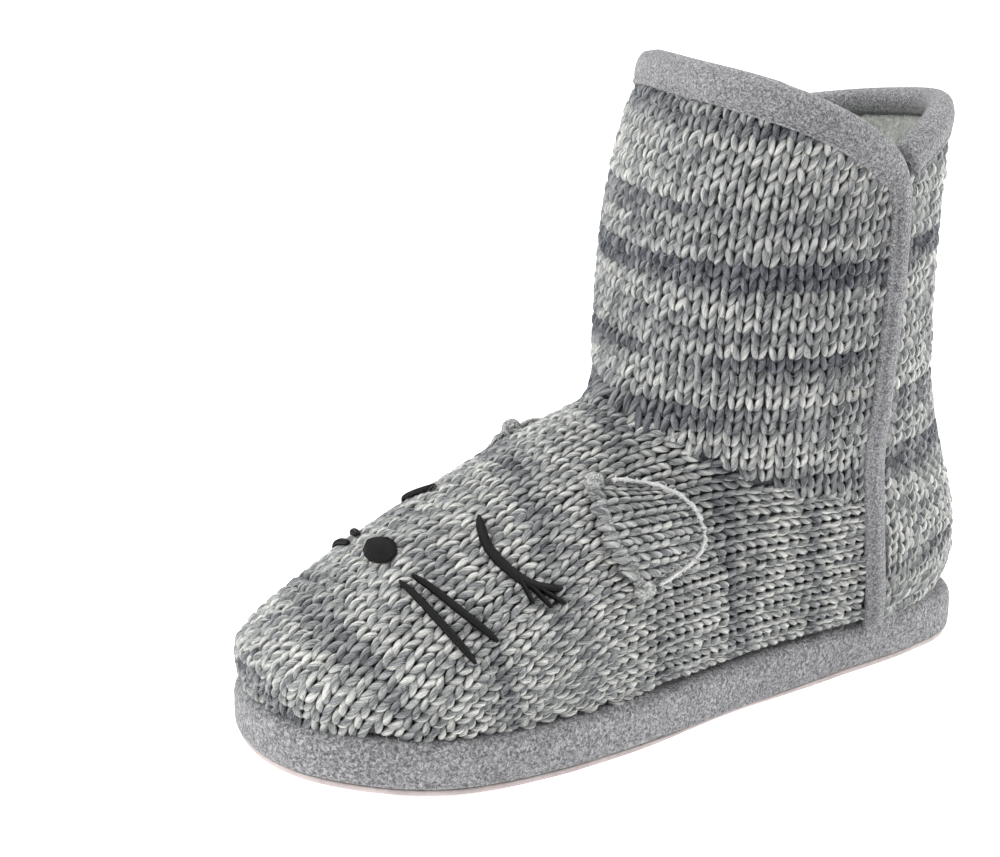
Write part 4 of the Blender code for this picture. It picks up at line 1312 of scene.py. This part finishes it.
        stitch = self.knit.stitch()
        out = []
        for name, lattice, dye, dye_seed, depth, seed in (
                ("knit_vamp", vamp, vamp_dye, 23, self.knit.sink, 3),
                ("knit_front_panel", front, front_dye_and_shade, 21, self.knit.sink, 4),
                ("knit_back_panel", back, back_dye, 22, self.knit.sink + wrap.last.lap, 5)):
            shades = self.knit.shades(dye, np.array(lattice.knit), dye_seed)
            lattice.settle(wrap.last, depth)
            lattice.loosen(seed + 60, self.knit.stray, self.knit.swell)
            panel = Repeater(name, 0.13, seed).build(lattice, stitch, self.yarn, shades)
            finish_piece(panel)
            out.append(lattice)
        bpy.data.objects.remove(stitch)
        return out


@dataclass
class EdgeStrip:
    """A folded suede strip with a padded roll and a stitched groove, laid along an edge."""

    last: Last
    collar_width: float = 0.0098
    side_width: float = 0.0066
    step: float = 0.0020

    def sections(self, path: Array, fold: Array, depth: float) -> tuple[list[Array], Array, Array]:
        """Return the strip's sections along an edge.

        Args:
            path: The edge, with the panel on its right-hand side seen from outside.
            fold: 1 where the strip folds over the rim, 0 where it lies on the wall.
            depth: How far the panel lies under the last's surface.

        Returns:
            The sections, the stitch line and its normals.
        """
        normals = self.last.normals(path)
        ways = unit(np.gradient(path, axis=0))
        inward = unit(np.cross(normals, ways))
        rows, line, lift = [], [], []
        for point, into, share in zip(path, inward, fold):
            width = (self.collar_width * share + self.side_width * (1 - share)) * 1000
            outer = [(width, -0.3), (width + 0.05, 0.5), (width - 0.35, 1.15), (width - 0.9, 1.25),
                     (width - 1.4, 0.95), (width - 1.9, 1.15), (width - 2.6, 1.65), (0.58 * width, 2.1),
                     (0.42 * width, 2.35), (0.22 * width, 2.4), (0.6, 2.15), (-0.6, 1.6), (-1.4, 0.7)]
            collar = [(-2.0, -0.9), (-2.2, -2.6), (-1.8, -4.3), (-0.6, -5.5), (0.2 * width, -6.1),
                      (0.45 * width, -6.0), (0.62 * width, -5.3), (0.68 * width, -4.2)]
            side = [(-1.8, -0.2), (-1.9, -0.8), (-1.8, -1.3), (-1.0, -1.7), (0.2 * width, -1.7),
                    (0.45 * width, -1.7), (0.7 * width, -1.7), (0.9 * width, -1.5)]
            tail = [tuple(share * a + (1 - share) * b for a, b in zip(*pair)) for pair in zip(collar, side)]
            profile = np.array(outer + tail) / 1000
            base = point + profile[:, :1] * into
            base, up = self.last.settled(base)
            rows.append(self.last.placed(base + up * (profile[:, 1:] - depth)))
            line.append(rows[-1][4])
            lift.append(up[4])
        return rows, np.array(line), np.array(lift)


@dataclass
class Bindings:
    """Suede bindings of the front part and of the back panel's collar, with their stitch lines."""

    wrap: Wrap
    suede: bpy.types.Material
    stitch_pitch: float = 0.0032
    thread_width: float = 0.0006
    margin: float = 0.002

    def front_edge(self) -> tuple[Array, Array]:
        """Return the front part's edge from the outer sole over the collar to the inner sole."""
        wrap, last = self.wrap, self.wrap.last
        levels = np.linspace(0.0184, last.notch_height, 90)
        shares = np.sin(np.linspace(0.0, math.pi / 2, 120))[::-1]
        halves = []
        for side in (1, -1):
            up = wrap.point(Region.FRONT, side, np.ones(levels.shape), levels)
            over = wrap.point(Region.FRONT, side, shares, wrap.rim(Region.FRONT, side, shares))
            halves.append(np.concatenate([up, over[1:]]))
        path = evenly(np.concatenate([halves[0], halves[1][::-1][1:]]), EdgeStrip.step)
        for _ in range(28):
            path[1:-1] = (path[:-2] + 2 * path[1:-1] + path[2:]) / 4
        rise = np.clip((path[:, 2] - last.notch_height + 0.006) / 0.012, 0.0, 1.0)
        return path, rise * rise * (3 - 2 * rise)

    def back_edge(self) -> tuple[Array, Array]:
        """Return the back panel's rim from the inner notch round the back to the outer notch."""
        wrap = self.wrap
        shares = np.linspace(0.0, 1.0, 120)
        inner = wrap.point(Region.BACK, -1, shares, wrap.rim(Region.BACK, -1, shares))
        outer = wrap.point(Region.BACK, 1, shares, wrap.rim(Region.BACK, 1, shares))
        path = evenly(np.concatenate([inner, outer[::-1][1:]]), EdgeStrip.step)
        return path, np.ones(len(path))

    def build(self) -> None:
        """Build the two bindings and their thread, and dress them."""
        last = self.wrap.last
        strip = EdgeStrip(last)
        thread = PlainStrand("binding_thread", "#9A9A9E", 0.6).build()
        unit_piece = strand_unit()
        for name, edge, depth, nodes in (
                ("front_binding", self.front_edge(), 0.0,
                 ("front_collar_binding", "side_binding_outer", "side_binding_inner")),
                ("back_binding", self.back_edge(), last.lap, ("back_collar_binding",))):
            rows, line, lift = strip.sections(edge[0], edge[1], depth)
            finish_piece(capped(name, rows, self.suede), nodes)
            spots = Lattice()
            for spot, forward, normal in frames(line, lift, self.margin, self.margin, self.stitch_pitch):
                size = (self.thread_width, self.stitch_pitch * 0.72, self.thread_width)
                spots.add(spot, normal, forward, size)
            seam = Repeater(name + "_stitches", 0.05, 6).build(spots, unit_piece, thread)
            finish_piece(seam)
        bpy.data.objects.remove(unit_piece)


def frames(points: Array, normals: Array, start: float, margin: float,
           pitch: float) -> Iterator[tuple[Array, Array, Array]]:
    """Yield the point, the unit way and the normal at even steps along a path.

    Args:
        points: The path.
        normals: The normals at its points.
        start: Distance of the first step from the path's start.
        margin: Distance kept from its end.
        pitch: Distance between steps.
    """
    way = path_lengths(points)
    for mark in np.arange(start, way[-1] - margin, pitch):
        spot = along_path(mark, way, points)
        forward = unit(along_path(mark + 0.001, way, points) - spot)
        yield spot, forward, along_path(mark, way, normals)


def strand_unit() -> bpy.types.Object:
    """Return a thread's one stitch, from -0.5 to 0.5 along Y, 1 wide and bowed up along Z."""
    steps = np.linspace(-0.5, 0.5, 7)
    path = np.stack([np.zeros(7), steps, 0.55 * (1 - np.abs(2 * steps) ** 3) - 0.15], -1)
    radii = np.array([0.35, 0.46, 0.5, 0.5, 0.5, 0.46, 0.35])
    turns = np.arange(6) * math.pi / 3
    corners = np.stack([np.cos(turns), np.zeros(6), 0.7 * np.sin(turns)], -1)
    return put_aside(capped("strand_unit", [point + radius * corners for point, radius in zip(path, radii)]))


@dataclass
class Face:
    """Satin-stitched sleeping face: nose, closed eyes with lashes, and whiskers."""

    last: Last
    nose_place: float = -0.0898
    nose_width: float = 0.0145
    nose_length: float = 0.0105
    strand: float = 0.00046
    lift: float = 0.0009
    smoothing: int = 90
    eye_width: float = 0.0035
    lash_width: float = 0.0015
    whisker_width: float = 0.0026
    eye: tuple[tuple[float, float], ...] = (
        (-0.0630, 15.5), (-0.0649, 20.8), (-0.0664, 30.3), (-0.0644, 37.2), (-0.0604, 45.7),
        (-0.0572, 49.1), (-0.0499, 51.0))
    lashes: tuple[tuple[tuple[float, float], tuple[float, float]], ...] = (
        ((-0.0612, 44.0), (-0.0597, 53.8)), ((-0.0590, 47.5), (-0.0545, 56.5)),
        ((-0.0562, 49.6), (-0.0500, 56.3)))
    front_whisker: tuple[tuple[float, float], ...] = ((-0.0917, 26.3), (-0.0880, 50.2), (-0.0815, 70.2))
    back_whisker: tuple[tuple[float, float], ...] = ((-0.0880, 26.3), (-0.0821, 47.1), (-0.0734, 64.2))

    def line(self, rows: Sequence[tuple[float, float]], side: int, count: int = 60) -> tuple[Array, Array]:
        """Return points and normals along a smooth line through rows of place and angle."""
        marks = np.linspace(0.0, 1.0, len(rows))
        fine = np.linspace(0.0, 1.0, count)
        y, turn = [smooth_table(list(zip(marks, column)))(fine) for column in zip(*rows)]
        for _ in range(self.smoothing):
            for row in (y, turn):
                row[1:-1] = (row[:-2] + 2 * row[1:-1] + row[2:]) / 4
        points = self.last.over_foot(y, self.last.face_turn + side * turn)
        return points, self.last.normals(points)

    def satin(self, spots: Lattice, rows: Sequence[tuple[float, float]], side: int, width: float,
              height: float = 0.0015) -> None:
        """Lay threads across a line, closely side by side, narrower at its ends."""
        points, normals = self.line(rows, side)
        way = path_lengths(points)
        chance = np.random.default_rng(len(spots.places) + 1)
        for mark in np.arange(0.0, way[-1], self.strand * 0.8):
            spot, normal = along_path(mark, way, points), along_path(mark, way, normals)
            ahead = along_path(mark + 0.0005, way, points)
            if mark + 0.0005 > way[-1]:
                ahead = spot + (points[-1] - points[-2])
            along = unit(ahead - spot)
            across = np.cross(normal, along) + 0.45 * along
            share = 2 * mark / way[-1] - 1
            wide = width * math.sqrt(max(0.12, 1 - 0.85 * abs(share) ** 5)) * chance.uniform(0.92, 1.08)
            spots.add(self.last.placed(spot + normal * self.lift), normal, across,
                      (self.strand * 1.5, wide, height))

    def nose(self, spots: Lattice) -> None:
        """Lay the nose's threads side by side over its oval."""
        centre = self.last.over_foot(np.array(self.nose_place), np.array(self.last.face_turn))
        normal = self.last.normals(centre)
        across = unit(np.cross(normal, np.array([0.0, -1.0, 0.0])))
        along = np.cross(normal, across)
        chance = np.random.default_rng(9)
        for offset in np.arange(-0.5, 0.501, self.strand * 0.72 / self.nose_width):
            chord = math.sqrt(max(0.0, 1 - (2 * offset) ** 2)) * self.nose_length * 0.9
            if chord < 0.0012:
                continue
            spot = centre + across * offset * self.nose_width
            spot, up = self.last.settled(spot[None, :])
            tall = 0.0013 + 0.0005 * (1 - (2 * offset) ** 2)
            spots.add(self.last.placed(spot[0] + up[0] * self.lift), up[0], along,
                      (self.strand * 1.3, chord * chance.uniform(0.96, 1.04), tall))

    def build(self) -> None:
        """Build the embroidery on both sides and dress it."""
        thread = PlainStrand("embroidery_thread", "#060607", 0.5, 0.0, 0.22).build()
        unit_piece = strand_unit()

        def sew(node: str, spots: Lattice, wobble: float, seed: int) -> None:
            """Repeat the thread at the spots, in place of a solid."""
            piece = Repeater("stitched_" + node, wobble, seed).build(spots, unit_piece, thread)
            finish_piece(piece, (node,))

        spots = Lattice()
        self.nose(spots)
        sew("nose", spots, 0.04, 30)
        for label, side in (("outer", 1), ("inner", -1)):
            spots = Lattice()
            self.satin(spots, self.eye, side, self.eye_width)
            for lash in self.lashes:
                self.satin(spots, lash, side, self.lash_width, height=0.0018)
            sew("eye_" + label, spots, 0.05, 31)
            for place, rows in (("front", self.front_whisker), ("back", self.back_whisker)):
                spots = Lattice()
                self.satin(spots, rows, side, self.whisker_width)
                sew(f"{place}_whisker_{label}", spots, 0.05, 32)
        bpy.data.objects.remove(unit_piece)


@dataclass
class Ears:
    """Knitted ears sewn on the vamp: a rolled straight side with gathered ends, and a round side."""

    last: Last
    yarn: bpy.types.Material
    knit: Knit
    place: float = -0.0288
    angle: float = 39.0
    width: float = 0.0318
    depth: float = 0.030
    slant: float = 0.0035
    bow: float = 0.0048
    roll: float = 0.0050
    thickness: float = 0.0026
    gauge: float = 0.92
    roll_stitch: tuple[float, float, float] = (0.0038, 0.0024, 0.7)
    knob_stitch: tuple[float, float, float] = (0.0038, 0.0028, 0.7)
    knob_count: int = 26
    cord_radius: float = 0.00075
    roll_turns: tuple[float, ...] = (-85.0, -42.0, 0.0, 42.0, 85.0)

    def spot(self, across: Array, along: Array, side: int) -> tuple[Array, Array]:
        """Return points and normals of the vamp under the ear's places."""
        last = self.last
        across, along = np.broadcast_arrays(np.asarray(across, float), np.asarray(along, float))
        outer, inner = last.plan.sides(np.array(self.place))
        axis = np.array([(outer + inner) / 2, self.place, last.foot_axis])
        middle = last.over_foot(np.array(self.place), np.array(self.angle))
        radius = float(np.linalg.norm(middle - axis))
        line = self.place + self.slant * across + self.bow * across ** 2
        reach = self.depth * (1.0 - np.abs(across) ** 2.5) + self.roll
        turn = np.degrees(across * self.width / 2 / radius)
        points = last.over_foot(line - self.roll / 2 + reach * along,
                                last.face_turn + side * (self.angle + turn))
        return points, last.normals(points)

    def height(self, across: Array, along: Array) -> Array:
        """Return the ear's thickness at each place."""
        edge = np.clip((1 - np.abs(across)) / 0.10, 0.25, 1.0) * np.clip((1.02 - along) / 0.12, 0.3, 1.0)
        return self.thickness * (1.15 - 0.45 * along ** 4) * np.minimum(1.0, edge)

    def cloth(self, side: int, label: str, stitch: bpy.types.Object) -> None:
        """Build one ear's pad and the knit over it."""
        grid_across, grid_along = np.meshgrid(np.linspace(-0.97, 0.97, 25), np.linspace(0.0, 1.0, 17))
        points, normals = self.spot(grid_across, grid_along, side)
        tall = self.height(grid_across, grid_along)[..., None]
        pad_low = self.last.placed(points + normals * 0.0002)
        pad_high = self.last.placed(points + normals * (tall * 0.75))
        sections = [np.concatenate([low, high[::-1]]) for low, high in zip(pad_low, pad_high)]
        # The pad's dark finish is painted shade, seen between the ear's stitches.
        pad = capped("ear_pad_" + label, sections, PaintedShadeBacking(name="ear_ground").build())
        finish_piece(pad, ("ear_" + label,))

        columns = np.array([path_lengths(row) for row in points])
        columns = columns - columns[:, 12:13]
        ahead = np.array([path_lengths(points[:, k]) for k in range(points.shape[1])]).T
        wale, course = self.knit.wale * self.gauge, self.knit.course * self.gauge
        lattice = Patch(points + normals * (tall * 0.8 - 0.0004), normals, side * columns / wale + 0.47,
                        (ahead + 0.0009) / course, np.stack([grid_across, grid_along], -1)).lattice()
        lattice.thin([size[0] < 1.4 * wale and size[1] < 1.4 * course for size in lattice.sizes])
        spots = np.array(lattice.knit)
        shades = self.knit.shades(0.30 + 0.18 * np.sin(spots[:, 1] * 0.9 + 1.0), spots, 41)
        lattice.places = [self.last.placed(place) for place in lattice.places]
        piece = Repeater("ear_knit_" + label, 0.14, 42).build(lattice, stitch, self.yarn, shades)
        finish_piece(piece)

    def rolled_side(self, side: int, label: str, stitch: bpy.types.Object) -> None:
        """Build one ear's rolled straight side with a gathered knob at each end."""
        base, up = self.spot(np.linspace(-1.04, 1.04, 60), np.full(60, 0.05), side)
        centre = self.last.placed(base + up * 0.0018)
        chance = np.random.default_rng(43)
        rolled = Lattice()
        shades = []
        for spot, forward, normal in frames(centre, up, 0.0, 0.0012, 0.0030):
            sideways = np.cross(normal, forward)
            for turn in np.radians(self.roll_turns):
                out = normal * math.cos(turn) + sideways * math.sin(turn)
                way = np.cross(forward, out) + forward * chance.uniform(-0.2, 0.2)
                rolled.add(spot + out * 0.0004, out, way, self.roll_stitch)
                shades.append(0.35 + chance.normal(0.0, 0.10))
        for end in (0, -1):
            for _ in range(self.knob_count):
                out = unit(chance.normal(0.0, 1.0, 3) + up[end] * 0.9)
                swirl = unit(np.cross(out, chance.normal(0.0, 1.0, 3)))
                place = centre[end] + out * 0.0018 + up[end] * 0.0002
                rolled.add(place, out, swirl, self.knob_stitch)
                shades.append(0.22 + chance.normal(0.0, 0.08))
        dye = np.clip(shades, 0.0, 1.0)
        roll = Repeater("ear_roll_" + label, 0.2, 44).build(rolled, stitch, self.yarn, dye)
        finish_piece(roll)

    def whip(self, side: int, label: str, strand: bpy.types.Object, thread: bpy.types.Material) -> None:
        """Build the thread along one ear's round side and the loops that sew it down."""
        base, up = self.spot(np.linspace(-0.985, 0.985, 90), np.full(90, 0.97), side)
        ripple = 0.0024 + 0.0004 * np.sin(np.linspace(0.0, 60.0, 90))
        path = self.last.placed(base + up * ripple[:, None])
        turns = np.arange(8) * math.pi / 4
        cord = swept(path, np.full(90, self.cord_radius), turns)
        edge = capped("ear_whip_thread_" + label, cord, thread)
        finish_piece(edge)
        spots = Lattice()
        for spot, forward, normal in frames(path, up, 0.001, 0.001, 0.0034):
            spots.add(spot, normal, np.cross(normal, forward) + 0.5 * forward, (0.0006, 0.0030, 0.0009))
        finish_piece(Repeater("ear_whip_loops_" + label, 0.2, 45).build(spots, strand, thread))

    def build(self) -> None:
        """Build both ears and dress them."""
        stitch = self.knit.stitch()
        strand = strand_unit()
        thread = PlainStrand("whip_thread", "#D4D5D3", 0.5).build()
        for label, side in (("outer", 1), ("inner", -1)):
            self.cloth(side, label, stitch)
            self.rolled_side(side, label, stitch)
            self.whip(side, label, strand, thread)
        bpy.data.objects.remove(stitch)
        bpy.data.objects.remove(strand)


@dataclass
class LooseFibres:
    """Fine hairs that stand off the wool."""

    count: int = 2400
    length: float = 0.0040
    thickness: float = 0.00016

    def build(self, lattices: Sequence[Lattice]) -> None:
        """Scatter hairs over the stitches' places."""
        steps = np.linspace(0.0, 1.0, 6)
        path = np.stack([0.10 * np.sin(steps * 3.0), steps - 0.3, 0.45 * np.sin(steps * 2.6)], -1)
        turns = np.arange(3) * 2 * math.pi / 3
        corners = 0.0125 * np.stack([np.cos(turns), np.zeros(3), np.sin(turns)], -1)
        sections = [point + (1 - 0.6 * step) * corners for point, step in zip(path, steps)]
        hair = put_aside(capped("hair_unit", sections))
        chance = np.random.default_rng(50)
        places = np.concatenate([np.array(lattice.places) for lattice in lattices])
        normals = np.concatenate([np.array(lattice.normals) for lattice in lattices])
        spots = Lattice()
        for k in chance.choice(len(places), self.count):
            normal = unit(normals[k])
            way = np.cross(normal, chance.normal(0.0, 1.0, 3))
            size = self.length * chance.uniform(0.5, 1.3)
            jitter = np.cross(normal, chance.normal(0.0, 0.002, 3))
            spots.add(places[k] + normal * 0.0012 + jitter, normal, way,
                      (size, size, size * chance.uniform(0.3, 1.0)))
        wool = PlainStrand("wool_fibre", "#DADCD8", 0.7).build()
        finish_piece(Repeater("loose_fibres", 0.1, 51).build(spots, hair, wool))
        bpy.data.objects.remove(hair)


@dataclass
class Studio:
    """White sweep, soft lights and the photograph's camera."""

    camera_place: tuple[float, float, float] = (0.538419, -0.397107, 0.322568)
    right: tuple[float, float, float] = (0.535724374, 0.844238966, 0.016123384)
    up: tuple[float, float, float] = (-0.286923553, 0.164046736, 0.943802704)
    forward: tuple[float, float, float] = (-0.794150030, 0.510244291, -0.330115879)
    lens: float = 79.246
    aim: tuple[float, float, float] = (0.0, 0.0, 0.08)
    room_light: float = 0.42
    floor_glow: float = 0.62

    def stand(self, data: bpy.types.ID, axes: Sequence[Any], place: Sequence[float]) -> bpy.types.Object:
        """Put a camera or a light at a place, turned by its three axes, and return its object."""
        piece = bpy.data.objects.new(data.name, data)
        matrix = Matrix(np.stack(axes, -1).tolist()).to_4x4()
        matrix.translation = place
        piece.matrix_world = matrix
        bpy.context.scene.collection.objects.link(piece)
        return piece

    def camera(self) -> None:
        """Make the camera."""
        data = bpy.data.cameras.new("photo_camera")
        data.sensor_fit = "HORIZONTAL"
        data.sensor_width = 36.0
        data.lens = self.lens
        data.clip_start = 0.01
        axes = (self.right, self.up, -np.array(self.forward))
        bpy.context.scene.camera = self.stand(data, axes, self.camera_place)

    def light(self, name: str, place: Sequence[float], size: float, power: float) -> None:
        """Make a square soft light that faces the slipper."""
        data = bpy.data.lights.new(name, "AREA")
        data.size = size
        data.energy = power
        back = unit(np.array(place) - np.array(self.aim))
        side = unit(np.cross(np.array([0.0, 0.0, 1.0]), back))
        self.stand(data, (side, np.cross(back, side), back), place)

    def build(self) -> None:
        """Build the stage."""
        self.camera()
        self.light("toe_light", (-0.25, -1.15, 0.85), 0.8, 13.5)
        self.light("heel_light", (0.45, 1.15, 0.75), 0.8, 15.0)
        self.light("top_light", (-0.2, 0.0, 1.4), 0.9, 13.0)
        world = bpy.data.worlds.new("white_room")
        world.use_nodes = True
        background = world.node_tree.nodes["Background"]
        background.inputs["Color"].default_value = (1.0, 1.0, 1.0, 1.0)
        background.inputs["Strength"].default_value = self.room_light
        bpy.context.scene.world = world
        bpy.context.scene.view_settings.view_transform = "Standard"
        work = Shading("white_sweep", 0.8, 0.0)
        white = work.ramp(work.noise(3.0, 2.0), (0.3, "#F7F7F7"), (0.7, "#FAFAFA"))
        for label in ("Base Color", "Emission Color"):
            work.tree.links.new(white, work.shader.inputs[label])
        work.shader.inputs["Emission Strength"].default_value = self.floor_glow
        corners = np.array([(-9.0, -9.0, 0.0), (9.0, -9.0, 0.0), (9.0, 9.0, 0.0), (-9.0, 9.0, 0.0)])
        floor = new_object("studio_floor", corners, [(0, 1, 2, 3)], work.material)


def main() -> None:
    """Dress the slipper, light it and frame it as in the photograph."""
    logging.basicConfig(level=logging.INFO, format="%(name)s: %(message)s")
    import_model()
    Studio().build()
    last = Last()
    wrap = Wrap(last)
    knit = Knit()
    yarn = MarledYarn().build()
    SoleUnit(last).build()
    UpperWall(wrap).build()
    lattices = KnitUpper(wrap, knit, yarn).build()
    Bindings(wrap, NappedSuede(name="binding_microsuede", grain=0.0007).build()).build()
    Ears(last, yarn, knit).build()
    Face(last).build()
    LooseFibres().build(lattices)


if __name__ == "__main__":
    main()
